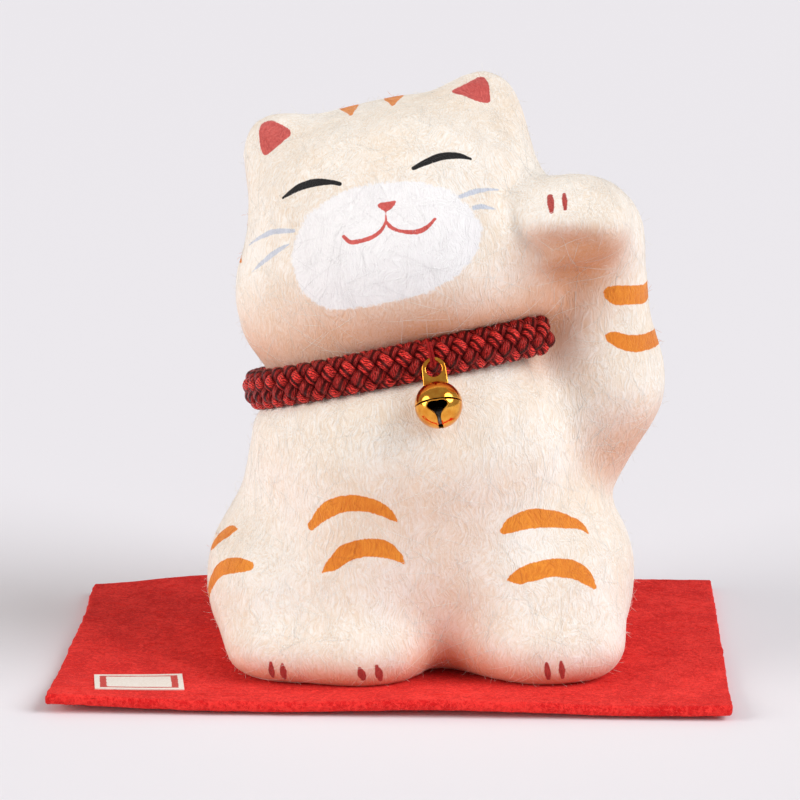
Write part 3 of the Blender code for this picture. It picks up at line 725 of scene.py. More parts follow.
def geometry_tree(name, sizes, places=(), counts=()):
    """An empty tree of geometry nodes with these inputs and a material, its inputs and its output node."""
    tree = bpy.data.node_groups.new(name, "GeometryNodeTree")
    kinds = (
        ("NodeSocketGeometry", ("Geometry",)),
        ("NodeSocketFloat", sizes),
        ("NodeSocketVector", places),
        ("NodeSocketInt", counts),
        ("NodeSocketMaterial", ("Material",)),
    )
    for kind, labels in kinds:
        for label in labels:
            tree.interface.new_socket(label, in_out="INPUT", socket_type=kind)
    tree.interface.new_socket("Geometry", in_out="OUTPUT", socket_type="NodeSocketGeometry")
    return tree, tree.nodes.new("NodeGroupInput").outputs, tree.nodes.new("NodeGroupOutput")


def close_tree(tree, made, finish, end):
    """Ends a tree with what it made, as smooth real mesh of this material."""
    made = result(tree, "GeometryNodeSetShadeSmooth", {"Geometry": made})
    made = result(tree, "GeometryNodeRealizeInstances", {0: made})
    made = result(tree, "GeometryNodeSetMaterial", {"Geometry": made, "Material": finish})
    fill(tree, end, {0: made})


def grown(name, host, tree, values):
    """A new piece: the plain mesh that a tree of geometry nodes makes from the host's mesh."""
    made = placed(name, host)
    step = made.modifiers.new(tree.name, "NODES")
    step.node_group = tree
    for socket in tree.interface.items_tree:
        if socket.in_out == "INPUT" and socket.name in values:
            step[socket.identifier] = values[socket.name]
    return baked(made)


def between(tree, low, high, seed):
    values = {2: low, 3: high, "Seed": seed}
    return add_node(tree, "FunctionNodeRandomValue", values, data_type="FLOAT").outputs[1]


def store(tree, geometry, label, value, kind="FLOAT"):
    """The geometry with a named value kept on its points."""
    values = {"Geometry": geometry, "Name": label, "Value": value}
    return result(tree, "GeometryNodeStoreNamedAttribute", values, data_type=kind, domain="POINT")


def recall(tree, label, kind="FLOAT"):
    return result(tree, "GeometryNodeInputNamedAttribute", {"Name": label}, data_type=kind)


def surface_value(tree, surface, value, place, kind):
    """What a value is on the surface, at the point nearest to a place."""
    values = {"Mesh": surface, "Value": value, "Sample Position": place}
    return result(tree, "GeometryNodeSampleNearestSurface", values, data_type=kind)


FIBRE_SIZES = (
    "Density", "Shortest", "Longest", "Thickness", "Start", "Tilt", "Bend", "Bend Size", "Held", "Lift"
)
FIBRE_SIDES = 3
FIBRE_LEAN = (-1.4, -0.2)
SPIN_SEED = 11
LEAN_SEED = 12
LENGTH_SEED = 13


def fibre_tree(name, carried, points):
    """Fibres strewn over a surface: those held to it lie along it, the rest stand off at their tilt."""
    tree, given, end = geometry_tree(name, FIBRE_SIZES, counts=("Seed",))
    host = given["Geometry"]
    values = {"Mesh": host, "Density": given["Density"], "Seed": given["Seed"]}
    strewn = add_node(tree, "GeometryNodeDistributePointsOnFaces", values).outputs
    spin = result(tree, "ShaderNodeCombineXYZ", {2: between(tree, 0.0, 2 * math.pi, SPIN_SEED)})
    lean = maths(tree, "MULTIPLY", between(tree, *FIBRE_LEAN, LEAN_SEED), given["Tilt"])
    lean = result(tree, "ShaderNodeCombineXYZ", {1: lean})
    turned = strewn["Rotation"]
    for angles in (spin, lean):
        turn = result(tree, "FunctionNodeEulerToRotation", {0: angles})
        values = {0: turned, 1: turn}
        turned = result(tree, "FunctionNodeRotateRotation", values, rotation_space="LOCAL")
    begin = result(tree, "ShaderNodeCombineXYZ", {0: given["Start"]})
    finish = vectors(tree, "ADD", begin, (1.0, 0.0, 0.0))
    line = result(tree, "GeometryNodeCurvePrimitiveLine", {"Start": begin, "End": finish})
    line = result(tree, "GeometryNodeResampleCurve", {"Curve": line, "Count": points})
    length = between(tree, given["Shortest"], given["Longest"], LENGTH_SEED)
    values = {"Points": strewn["Points"], "Instance": line, "Rotation": turned, "Scale": length}
    strands = result(tree, "GeometryNodeInstanceOnPoints", values)
    strands = result(tree, "GeometryNodeRealizeInstances", {0: strands})
    place = result(tree, "GeometryNodeInputPosition", {})
    along = add_node(tree, "GeometryNodeSplineParameter", {}).outputs["Factor"]
    values = {"Vector": place, "Scale": maths(tree, "DIVIDE", 1.0, given["Bend Size"]), "Detail": 1.0}
    sway = add_node(tree, "ShaderNodeTexNoise", values).outputs["Color"]
    sway = vectors(tree, "SUBTRACT", sway, (0.5, 0.5, 0.5))
    sway = scaled(tree, sway, maths(tree, "MULTIPLY", given["Bend"], along))
    free = vectors(tree, "ADD", place, sway)
    values = {"Geometry": host, "Sample Position": free}
    below = add_node(tree, "GeometryNodeProximity", values).outputs["Position"]
    normal = result(tree, "GeometryNodeInputNormal", {})
    upright = surface_value(tree, host, normal, free, "FLOAT_VECTOR")
    held = vectors(tree, "ADD", below, scaled(tree, upright, given["Lift"]))
    values = {0: given["Held"], 4: free, 5: held}
    settled = add_node(tree, "ShaderNodeMix", values, data_type="VECTOR").outputs[1]
    strands = result(tree, "GeometryNodeSetPosition", {"Geometry": strands, "Position": settled})
    middle = maths(tree, "MULTIPLY", along, maths(tree, "SUBTRACT", 1.0, along))
    taper = maths(tree, "MULTIPLY_ADD", middle, 2.6, 0.35)
    width = maths(tree, "MULTIPLY", taper, maths(tree, "MULTIPLY", given["Thickness"], 0.5))
    values = {"Resolution": FIBRE_SIDES, "Radius": 1.0}
    outline = result(tree, "GeometryNodeCurvePrimitiveCircle", values)
    values = {"Curve": strands, "Profile Curve": outline, "Scale": width, "Fill Caps": True}
    made = result(tree, "GeometryNodeCurveToMesh", values)
    for label in carried:
        kept = surface_value(tree, host, recall(tree, label), place, "FLOAT")
        made = store(tree, made, label, kept)
    made = store(tree, made, "loose_fibre", 1.0)
    close_tree(tree, made, given["Material"], end)
    return tree


LYING_FIBRES = {
    "Density": 60000.0,
    "Seed": 4,
    "Shortest": 4 * MM,
    "Longest": 14 * MM,
    "Thickness": 0.08 * MM,
    "Start": -0.5,
    "Tilt": 0.0,
    "Bend": 3 * MM,
    "Bend Size": 14 * MM,
    "Held": 1.0,
    "Lift": 0.015 * MM,
    "Material": pasted_paper,
}
FUZZ = {
    "Density": 110000.0,
    "Seed": 7,
    "Shortest": 0.7 * MM,
    "Longest": 2.1 * MM,
    "Thickness": 0.05 * MM,
    "Start": 0.0,
    "Tilt": 0.7,
    "Bend": 1.6 * MM,
    "Bend Size": 1.5 * MM,
    "Held": 0.0,
    "Lift": 0.0,
    "Material": pasted_paper,
}
LYING_POINTS = 12
FUZZ_POINTS = 5
# The fibres carry the skin's paint and its shelter, so they take its painted shade too
paper_fibres = fibre_tree("Lying fibres", (*PAINTS, "shelter"), LYING_POINTS)
paper_fuzz = fibre_tree("Standing fuzz", (*PAINTS, "shelter"), FUZZ_POINTS)
for name, tree, values in (("washi_fibres", paper_fibres, LYING_FIBRES), ("washi_fuzz", paper_fuzz, FUZZ)):
    strewn = grown(name, skin.data, tree, values)
    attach(strewn, "cat")


# Base cover.
# A disc of brown card, cut to size and glued into the recess of the flat base. It closes the opening through
# which the pulp was drawn off its mould.

CARD_PALE = colour(196, 178, 152)
CARD_DARK = colour(158, 138, 112)
CARD_FLECK = 0.5 * MM
CARD_BLOTCH = 6 * MM
CARD_RELIEF = 0.06 * MM


def card_finish():
    finish, tree, shader, place = new_material("base_card")
    fleck = mottle(tree, place, CARD_FLECK, 4.0, 0.7)
    blotch = mottle(tree, place, CARD_BLOTCH)
    tone = maths(tree, "MULTIPLY_ADD", blotch, 0.5, maths(tree, "MULTIPLY", fleck, 0.5))
    look = mixed(tree, ramp(tree, tone, 0.35, 0.65), CARD_DARK, CARD_PALE)
    fill(tree, shader, {"Base Color": look, "Roughness": 0.92, "Normal": bumped(tree, fleck, CARD_RELIEF)})
    return finish


dress(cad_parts["base_cover"], card_finish())


# Collar.
# Eight soft cords of red satin yarn, braided into a thick oval tube and glued into the crease of the neck.
# One end is tucked in beside the raised arm, and the other goes round the neck to the arm's far side.

NECK_MIDDLE = Vector((6.455, 0.0, 60.394)) * MM
NECK_UP = Vector((-0.20423, 0.18738, 0.96082))
COLLAR_SIDES = 10
SAME_STATION = math.radians(0.3)
FULL_HEIGHT_SHARE = 0.97
FRONT_TUCK = 1.2 * MM
BRAID_CORDS = 8
BRAID_STATIONS = 520
CORD_SIDES = 12
CORE_SIDES = 16
CORE_THICKNESS_SHARE = 1.75
CORE_HEIGHT_SHARE = 1.8
END_FULLNESS = 1.02
BRAID_SIZES = {
    "Lay": 14.0 * MM,
    "Half Thickness": 1.35 * MM,
    "Half Height": 2.45 * MM,
    "Weave": 0.65 * MM,
    "Cord Width": 2.8 * MM,
    "Cord Thickness": 1.9 * MM,
    "End Round": 2.6 * MM,
    "Neck Middle": NECK_MIDDLE,
    "Neck Up": NECK_UP,
}
# Painted highlight and painted shade of the satin: lighter on the filaments' crests, darker in their hollows,
# darker on the cords that run across the light, and darkest in the gaps of the braid
SATIN_PAINTED_LIGHT = colour(252, 66, 60)
SATIN_PAINTED_SHADE = colour(90, 5, 9)
SATIN_GAP_SHADE = colour(52, 3, 7)
SATIN_SHINE = colour(255, 120, 110)
# How far the cords that run the other way, across the light, are painted darker, as painted shade
SATIN_ACROSS_SHADE = 0.6
FILAMENT_STRAY = 0.9 * MM
FILAMENT_GRAIN = 0.25 * MM


def collar_line():
    """The collar's middle line as a run of edges, from the rings of vertices round the CAD collar.

    Its front end is pushed on into the crease beside the raised arm.
    """
    front = Vector((0, -1, 0))
    front = (front - front.dot(NECK_UP) * NECK_UP).normalized()
    right = NECK_UP.cross(front)
    collar = merged_copy("collar")
    found = []
    for vert in collar.verts:
        reach = vert.co - NECK_MIDDLE
        angle = math.atan2(reach.dot(right), reach.dot(front))
        found.append((angle if angle < math.pi / 2 else angle - 2 * math.pi, tuple(vert.co)))
    collar.free()
    found.sort(reverse=True)
    rings = [[found[0]]]
    for item in found[1:]:
        if rings[-1][0][0] - item[0] < SAME_STATION:
            rings[-1].append(item)
        else:
            rings.append([item])
    rings = [np.array([place for _, place in ring]) for ring in rings if len(ring) == COLLAR_SIDES]
    heights = np.array([np.ptp(ring @ np.array(NECK_UP)) for ring in rings])
    least = FULL_HEIGHT_SHARE * np.median(heights)
    middles = [ring.mean(axis=0) for ring, height in zip(rings, heights) if height > least]
    middles = [rings[0].mean(axis=0), *middles, rings[-1].mean(axis=0)]
    onward = middles[0] - middles[1]
    middles[0] += FRONT_TUCK * onward / np.linalg.norm(onward)
    mesh = bpy.data.meshes.new("collar_line")
    mesh.from_pydata(middles, [(step, step + 1) for step in range(len(middles) - 1)], [])
    return mesh


def dot(tree, first, second):
    values = {0: first, 1: second}
    return add_node(tree, "ShaderNodeVectorMath", values, operation="DOT_PRODUCT").outputs["Value"]


def without(tree, vector, direction):
    """What is left of a vector once its part along a unit direction is taken away."""
    return vectors(tree, "SUBTRACT", vector, scaled(tree, direction, dot(tree, vector, direction)))


def cord_mesh(tree, path, facing, width, thickness, sides):
    """A flattened cord along a path, its broad side towards the named facing vector."""
    outline = result(tree, "GeometryNodeCurvePrimitiveCircle", {"Resolution": sides, "Radius": 0.5})
    around = add_node(tree, "GeometryNodeSplineParameter", {}).outputs["Factor"]
    outline = store(tree, outline, "cord_around", around)
    shape = result(tree, "ShaderNodeCombineXYZ", {0: thickness, 1: width, 2: 1.0})
    outline = result(tree, "GeometryNodeTransform", {"Geometry": outline, "Scale": shape})
    values = {"Curve": path, "Normal": recall(tree, facing, "FLOAT_VECTOR")}
    path = result(tree, "GeometryNodeSetCurveNormal", values, mode="FREE")
    values = {"Curve": path, "Profile Curve": outline, "Scale": recall(tree, "cord_scale"), "Fill Caps": True}
    return result(tree, "GeometryNodeCurveToMesh", values)


def braid_tree():
    """Cords braided half each way round an oval, along a line of edges, over a core that fills the braid."""
    tree, given, end = geometry_tree(
        "Round braid",
        ("Lay", "Half Thickness", "Half Height", "Weave", "Cord Width", "Cord Thickness", "End Round"),
        ("Neck Middle", "Neck Up"),
    )
    line = result(tree, "GeometryNodeMeshToCurve", {"Mesh": given["Geometry"]})
    line = result(tree, "GeometryNodeCurveSplineType", {"Curve": line}, spline_type="CATMULL_ROM")
    line = result(tree, "GeometryNodeResampleCurve", {"Curve": line, "Count": BRAID_STATIONS})
    place = result(tree, "GeometryNodeInputPosition", {})
    tangent = result(tree, "GeometryNodeInputTangent", {})
    along = add_node(tree, "GeometryNodeSplineParameter", {}).outputs["Length"]
    whole = add_node(tree, "GeometryNodeSplineLength", {}).outputs["Length"]
    radial = vectors(tree, "SUBTRACT", place, given["Neck Middle"])
    radial = without(tree, radial, given["Neck Up"])
    outward = vectors(tree, "NORMALIZE", without(tree, radial, tangent))
    upward = vectors(tree, "NORMALIZE", vectors(tree, "CROSS_PRODUCT", tangent, outward))
    to_end = maths(tree, "MINIMUM", along, maths(tree, "SUBTRACT", whole, along))
    inset = maths(tree, "MINIMUM", maths(tree, "DIVIDE", to_end, given["End Round"]), 1.0)
    inset = maths(tree, "SUBTRACT", 1.0, inset)
    full = maths(tree, "SUBTRACT", END_FULLNESS, maths(tree, "MULTIPLY", inset, inset))
    full = maths(tree, "SQRT", full)
    line = store(tree, line, "cord_out", outward, "FLOAT_VECTOR")
    line = store(tree, line, "cord_scale", full)
    line = store(tree, line, "cord_along", along)
    values = {"Geometry": line, "Amount": BRAID_CORDS}
    cords = add_node(tree, "GeometryNodeDuplicateElements", values, domain="SPLINE").outputs
    number = cords["Duplicate Index"]
    half = BRAID_CORDS / 2
    way = maths(tree, "FLOOR", maths(tree, "DIVIDE", number, half))
    way = maths(tree, "MULTIPLY_ADD", way, -2.0, 1.0)
    turns = maths(tree, "MULTIPLY", maths(tree, "DIVIDE", along, given["Lay"]), way)
    turns = maths(tree, "MULTIPLY_ADD", number, 1 / half, turns)
    turns = maths(tree, "ADD", turns, 0.25 / half)
    angle = maths(tree, "MULTIPLY", turns, 2 * math.pi)
    over = maths(tree, "COSINE", maths(tree, "MULTIPLY_ADD", angle, half, -0.5 * math.pi))
    over = maths(tree, "MULTIPLY", over, way)
    weave = maths(tree, "MULTIPLY", over, given["Weave"])
    sideways = maths(tree, "COSINE", angle)
    upways = maths(tree, "SINE", angle)
    thick = maths(tree, "MULTIPLY", maths(tree, "ADD", given["Half Thickness"], weave), full)
    tall = maths(tree, "MULTIPLY", maths(tree, "ADD", given["Half Height"], weave), full)
    out_part = scaled(tree, outward, maths(tree, "MULTIPLY", sideways, thick))
    up_part = scaled(tree, upward, maths(tree, "MULTIPLY", upways, tall))
    offset = vectors(tree, "ADD", out_part, up_part)
    out_part = scaled(tree, outward, maths(tree, "DIVIDE", sideways, given["Half Thickness"]))
    up_part = scaled(tree, upward, maths(tree, "DIVIDE", upways, given["Half Height"]))
    facing = vectors(tree, "NORMALIZE", vectors(tree, "ADD", out_part, up_part))
    bent = store(tree, cords["Geometry"], "cord_face", facing, "FLOAT_VECTOR")
    bent = store(tree, bent, "cord_over", over)
    bent = store(tree, bent, "cord_way", way)
    bent = result(tree, "GeometryNodeSetPosition", {"Geometry": bent, "Offset": offset})
    braid = cord_mesh(tree, bent, "cord_face", given["Cord Width"], given["Cord Thickness"], CORD_SIDES)
    thick = maths(tree, "MULTIPLY", given["Half Thickness"], CORE_THICKNESS_SHARE)
    tall = maths(tree, "MULTIPLY", given["Half Height"], CORE_HEIGHT_SHARE)
    core = cord_mesh(tree, line, "cord_out", tall, thick, CORE_SIDES)
    core = store(tree, core, "cord_core", 1.0)
    both = tree.nodes.new("GeometryNodeJoinGeometry")
    for part in (core, braid):
        tree.links.new(part, both.inputs[0])
    close_tree(tree, both.outputs[0], given["Material"], end)
    return tree


def filament_group():
    """Fine filaments that lie along a cord with a slight twist, as a height and a tone for painted shine."""
    group, given, end = shader_group(
        "Yarn filaments", ("Around", "Along", "Count", "Twist"), ("Height", "Tone")
    )
    turn = maths(group, "MULTIPLY", given["Along"], given["Twist"])
    turn = maths(group, "ADD", given["Around"], turn)
    stray = maths(group, "SUBTRACT", mottle(group, given["Vector"], FILAMENT_STRAY), 0.5)
    turn = maths(group, "ADD", turn, maths(group, "MULTIPLY", stray, 0.16))
    angle = maths(group, "MULTIPLY", turn, maths(group, "MULTIPLY", given["Count"], 2 * math.pi))
    height = maths(group, "MULTIPLY_ADD", maths(group, "SINE", angle), 0.5, 0.5)
    grain = mottle(group, given["Vector"], FILAMENT_GRAIN)
    tone = maths(group, "MULTIPLY_ADD", height, 0.6, maths(group, "MULTIPLY", grain, 0.5))
    fill(group, end, {"Height": height, "Tone": tone})
    return group


yarn_filaments = filament_group()


def yarn(tree, place, count, twist):
    """The filaments of a cord, from the places that the cord's mesh keeps."""
    inputs = {"Vector": place, "Count": count, "Twist": twist}
    for label in ("Around", "Along"):
        inputs[label] = attribute(tree, "cord_" + label.lower())
    return in_group(tree, yarn_filaments, **inputs)


def satin_finish():
    finish, tree, shader, place = new_material("satin_cord")
    filaments = yarn(tree, place, 17.0, 110.0)
    # Painted highlight and shade: the filaments' crests are painted lighter and their hollows darker
    look = mixed(tree, ramp(tree, filaments["Tone"], 0.3, 0.75), SATIN_PAINTED_SHADE, SATIN_PAINTED_LIGHT)
    # Painted shade on the cords that run across the light
    half = 0.5 * SATIN_ACROSS_SHADE
    dull = maths(tree, "MULTIPLY_ADD", attribute(tree, "cord_way"), -half, half)
    look = mixed(tree, dull, look, SATIN_PAINTED_SHADE)
    # Painted shade where a cord passes under the others, on the turned sides of each cord, and over the core
    painted_shade = ramp(tree, attribute(tree, "cord_over"), 0.8, -0.3)
    outer = maths(tree, "COSINE", maths(tree, "MULTIPLY", attribute(tree, "cord_around"), 2 * math.pi))
    painted_shade = maths(tree, "MAXIMUM", painted_shade, ramp(tree, outer, 0.75, 0.1))
    painted_shade = maths(tree, "MAXIMUM", maths(tree, "MULTIPLY", painted_shade, 0.92), attribute(tree, "cord_core"))
    looks = {
        "Base Color": mixed(tree, painted_shade, look, SATIN_GAP_SHADE),
        "Roughness": 0.3,
        "Specular IOR Level": 0.7,
        "Specular Tint": SATIN_SHINE,
        "Normal": bumped(tree, filaments["Height"], 0.09 * MM),
    }
    fill(tree, shader, looks)
    return finish


collar = grown("collar_braid", collar_line(), braid_tree(), {**BRAID_SIZES, "Material": satin_finish()})
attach(collar, "cat")
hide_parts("collar")


# Bell thread.
# Two rounds of red two-ply thread, passed behind a cord of the braid and through the bell's eye, and tied off
# out of sight behind the collar.

THREAD_CENTRE = Vector((7.682, -29.134, 67.169)) * MM
THREAD_AXIS = Vector((0.97782, 0.08561, 0.19115))
THREAD_RADIUS = 2.2 * MM
THREAD_SIZES = {
    "Centre": THREAD_CENTRE,
    "Axis": THREAD_AXIS,
    "Apart": 0.44 * MM,
    "Ply": 0.3 * MM,
    "Twists": 26.0,
}
THREAD_ROUNDS = 2
PLIES = 2
RING_POINTS = 64
THREAD_STATIONS = 240
PLY_SIDES = 8
# Painted highlight and painted shade of the thread
THREAD_PAINTED_LIGHT = colour(200, 32, 30)
THREAD_PAINTED_SHADE = colour(110, 8, 10)


def round_angles(count):
    return [2 * math.pi * step / count for step in range(count)]


def round_places(centre, across, aside, radius, count):
    """Places round a circle, in the plane of two directions at right angles."""
    return [centre + radius * (math.cos(a) * across + math.sin(a) * aside) for a in round_angles(count)]


def ring_line(name, centre, axis, radius, count):
    """A closed round of edges."""
    across = axis.orthogonal().normalized()
    places = round_places(centre, across, axis.cross(across), radius, count)
    mesh = bpy.data.meshes.new(name)
    mesh.from_pydata(places, [(step, (step + 1) % count) for step in range(count)], [])
    return mesh


def thread_tree():
    """Rounds of plied thread side by side, twisted along a closed line of edges."""
    tree, given, end = geometry_tree("Plied thread", ("Apart", "Ply", "Twists"), ("Centre", "Axis"))
    line = result(tree, "GeometryNodeMeshToCurve", {"Mesh": given["Geometry"]})
    line = result(tree, "GeometryNodeResampleCurve", {"Curve": line, "Count": THREAD_STATIONS})
    part = add_node(tree, "GeometryNodeSplineParameter", {}).outputs
    place = result(tree, "GeometryNodeInputPosition", {})
    outward = vectors(tree, "NORMALIZE", vectors(tree, "SUBTRACT", place, given["Centre"]))
    values = {"Geometry": line, "Amount": THREAD_ROUNDS * PLIES}
    plies = add_node(tree, "GeometryNodeDuplicateElements", values, domain="SPLINE").outputs
    number = plies["Duplicate Index"]
    side = maths(tree, "FLOOR", maths(tree, "DIVIDE", number, float(PLIES)))
    side = maths(tree, "SUBTRACT", side, 0.5 * (THREAD_ROUNDS - 1))
    turns = maths(tree, "MULTIPLY", part["Factor"], given["Twists"])
    turns = maths(tree, "MULTIPLY_ADD", number, 1 / PLIES, turns)
    angle = maths(tree, "MULTIPLY", turns, 2 * math.pi)
    reach = maths(tree, "MULTIPLY", given["Ply"], 0.5)
    across = maths(tree, "MULTIPLY", maths(tree, "SINE", angle), reach)
    across = maths(tree, "MULTIPLY_ADD", side, given["Apart"], across)
    out = maths(tree, "MULTIPLY", maths(tree, "COSINE", angle), reach)
    offset = vectors(tree, "ADD", scaled(tree, outward, out), scaled(tree, given["Axis"], across))
    bent = store(tree, plies["Geometry"], "cord_out", outward, "FLOAT_VECTOR")
    bent = store(tree, bent, "cord_scale", 1.0)
    bent = store(tree, bent, "cord_along", part["Length"])
    bent = result(tree, "GeometryNodeSetPosition", {"Geometry": bent, "Offset": offset})
    made = cord_mesh(tree, bent, "cord_out", given["Ply"], given["Ply"], PLY_SIDES)
    close_tree(tree, made, given["Material"], end)
    return tree


def thread_finish():
    finish, tree, shader, place = new_material("plied_thread")
    filaments = yarn(tree, place, 7.0, 400.0)
    looks = {
        # Painted highlight and shade: the plies' crests are painted lighter and their hollows darker
        "Base Color": mixed(tree, ramp(tree, filaments["Tone"], 0.2, 0.9), THREAD_PAINTED_SHADE, THREAD_PAINTED_LIGHT),
        "Roughness": 0.6,
        "Specular IOR Level": 0.2,
        "Normal": bumped(tree, filaments["Height"], 0.03 * MM),
    }
    fill(tree, shader, looks)
    return finish


thread_line = ring_line("thread_line", THREAD_CENTRE, THREAD_AXIS, THREAD_RADIUS, RING_POINTS)
thread = grown("bell_tie", thread_line, thread_tree(), {**THREAD_SIZES, "Material": thread_finish()})
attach(thread, "thread")
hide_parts("bell_thread")


# Bell.
# Two brass cups pressed from sheet and closed on each other round the middle. The lower one is pierced with a
# mouth that runs into a slot, and a flat pierced eye is brazed on top. The brass is polished and lacquered.

BELL_MIDDLE = Vector((9.191, -33.96, 58.664)) * MM
BELL_TURN = Matrix.Rotation(math.radians(-9), 3, "Y") @ Matrix.Rotation(math.radians(-29.25), 3, "X")
BELL_RADIUS = 4.5 * MM
BELL_WALL = 0.4 * MM
BELL_SEAM = 0.12 * MM
BELL_LIP = 0.12 * MM
BELL_SEGMENTS = 96
BELL_RINGS = 26
LIP_ROUNDING_SHARE = 0.3
INSIDE_SHARE = 0.6
ON_BALL = 0.97
# Right-hand edge of the mouth, across and up from the bell's middle in mm, and the slot that it runs into
MOUTH_LOBE = (
    (0.0, -0.25), (0.9, -0.18), (1.65, -0.32), (2.08, -0.88), (1.8, -1.48), (1.1, -2.1), (0.6, -2.75)
)
SLOT_HALF_WIDTH = 0.45
SLOT_EDGE_HEIGHTS = (-3.2, -3.7, -4.2)
SLOT_TOP = -2.9
SLOT_BOTTOM = -5.5
MOUTH_PUNCH = (-1.2 * BELL_RADIUS, -0.3 * MM)
SLOT_PUNCH = (-0.6 * MM, 2.0 * MM)
BEAD_RADIUS = 0.15 * MM
BEAD_SIDES = 8
EYE_MIDDLE = 7.0 * MM
EYE_HALF_WIDTH = 2.28 * MM
EYE_HOLE = 1.52 * MM
EYE_HALF_THICKNESS = 0.42 * MM
EYE_ROUNDING = 0.16 * MM
EYE_FOOT = 3.4 * MM
EYE_FOOT_HALF_WIDTH = 2.4 * MM
EYE_FLARE_HEIGHT = 1.5 * MM
EYE_FLARE_SHARE = 1.02
EYE_STEPS = 40
DRILL_SEGMENTS = 64
ROUNDED_EDGE = math.radians(60)
SHARP_EDGE = math.radians(40)
BRASS_LIT = colour(255, 186, 78)
BRASS_DEEP = colour(228, 142, 46)
BRASS_TARNISH = colour(112, 58, 20)
# Painted shade: the inside of the cups, seen through the mouth, is painted near black
BRASS_INSIDE_SHADE = colour(34, 20, 10)
BRASS_CLOUD = 2.2 * MM
BRASS_SPECK = 0.3 * MM
BRASS_SCRATCH = 0.16 * MM
BRASS_RELIEF = 0.003 * MM


def turned_solid(profile, segments):
    """A bmesh turned round the upright axis from a profile that starts and ends on it."""
    shape = bmesh.new()
    rows = []
    for radius, height in profile:
        if radius == 0:
            rows.append([shape.verts.new((0, 0, height))])
            continue
        places = [(radius * math.cos(a), radius * math.sin(a), height) for a in round_angles(segments)]
        rows.append([shape.verts.new(place) for place in places])
    for upper, lower in zip(rows, rows[1:]):
        for step in range(segments):
            after = (step + 1) % segments
            if len(upper) == 1:
                shape.faces.new((upper[0], lower[step], lower[after]))
            elif len(lower) == 1:
                shape.faces.new((upper[step], lower[0], upper[after]))
            else:
                shape.faces.new((upper[step], lower[step], lower[after], upper[after]))
    bmesh.ops.recalc_face_normals(shape, faces=shape.faces)
    return shape


def cup_profile(way):
    """Outline of the upper (1) or lower (-1) cup, from the pole outside to a rounded lip and back inside."""
    lip = BELL_SEAM + BELL_LIP
    inner = BELL_RADIUS - BELL_WALL
    down = np.linspace(0, math.acos(lip / BELL_RADIUS), BELL_RINGS)
    back = np.linspace(math.acos(lip / inner), 0, BELL_RINGS)
    outside = [(BELL_RADIUS * math.sin(a), way * BELL_RADIUS * math.cos(a)) for a in down]
    rounding = LIP_ROUNDING_SHARE * BELL_LIP
    rim = [(BELL_RADIUS - rounding, way * (BELL_SEAM + rounding))]
    rim += [(BELL_RADIUS - BELL_LIP, way * BELL_SEAM), (inner, way * BELL_SEAM)]
    inside = [(inner * math.sin(a), way * inner * math.cos(a)) for a in back]
    outside[0] = (0.0, way * BELL_RADIUS)
    inside[-1] = (0.0, way * inner)
    return outside + rim + inside


def mouth_side():
    """Right-hand edge of the mouth and of the slot under it, across and up from the bell's middle."""
    slot = [(SLOT_HALF_WIDTH, height) for height in SLOT_EDGE_HEIGHTS]
    return np.concatenate([flowing(MOUTH_LOBE), slot]) * MM


def mouth_outline():
    """Outline that punches the mouth and the front of the slot."""
    half = np.concatenate([mouth_side(), [(SLOT_HALF_WIDTH * MM, SLOT_BOTTOM * MM)]])
    return np.concatenate([half, half[::-1] * (-1, 1)])[1:-1]


def slot_outline():
    """Outline that punches the slot on under the bell."""
    corners = ((-1, SLOT_BOTTOM), (1, SLOT_BOTTOM), (1, SLOT_TOP), (-1, SLOT_TOP))
    return np.array([(side * SLOT_HALF_WIDTH, height) for side, height in corners]) * MM


def mouth_bead(shape):
    """Adds the mouth's turned edge: a fine bead up the slot, round the mouth and down again."""
    side = mouth_side()
    run = np.concatenate([side[::-1], side[1:] * (-1, 1)])
    path = [Vector((x, -math.sqrt(BELL_RADIUS**2 - x * x - z * z), z)) for x, z in run]
    rows = []
    for before, here, after in zip(path[:1] + path, path, path[1:] + path[-1:]):
        along = (after - before).normalized()
        out = (here - here.dot(along) * along).normalized()
        places = round_places(here, out, along.cross(out), BEAD_RADIUS, BEAD_SIDES)
        rows.append([shape.verts.new(place) for place in places])
    for row, following in zip(rows, rows[1:]):
        for step in range(BEAD_SIDES):
            after = (step + 1) % BEAD_SIDES
            shape.faces.new((row[step], row[after], following[after], following[step]))
    shape.faces.new(rows[0][::-1])
    shape.faces.new(rows[-1])
    bmesh.ops.recalc_face_normals(shape, faces=shape.faces)


def prism(outline, front, back):
    """A bmesh of the outline, across and up, drawn out along the depth from front to back."""
    shape = bmesh.new()
    near = shape.faces.new([shape.verts.new((x, front, z)) for x, z in outline])
    moved = bmesh.ops.extrude_face_region(shape, geom=[near])["geom"]
    verts = [item for item in moved if isinstance(item, bmesh.types.BMVert)]
    bmesh.ops.translate(shape, verts=verts, vec=(0, back - front, 0))
    bmesh.ops.recalc_face_normals(shape, faces=shape.faces)
    return shape


def cut_away(made, *cutters):
    """Cuts these objects out of a piece, and removes them."""
    for cutter in cutters:
        cut = made.modifiers.new(cutter.name, "BOOLEAN")
        cut.solver = "EXACT"
        cut.object = cutter
    baked(made)
    for cutter in cutters:
        bpy.data.objects.remove(cutter)


def round_normals(mesh):
    """Gives the faces on a cup's ball the ball's own normals, so that reflections run clean over them."""
    points = vertex_table(mesh)
    normals = [Vector() for _ in mesh.loops]
    for face in mesh.polygons:
        out = Vector(points[list(face.vertices)].mean(axis=0)).normalized()
        lean = face.normal.dot(out)
        for loop in face.loop_indices:
            if abs(lean) > ON_BALL:
                ball = Vector(points[mesh.loops[loop].vertex_index]).normalized()
                normals[loop] = ball if lean > 0 else -ball
            else:
                normals[loop] = face.normal.copy()
    mesh.shade_smooth()
    mesh.normals_split_custom_set([tuple(normal) for normal in normals])


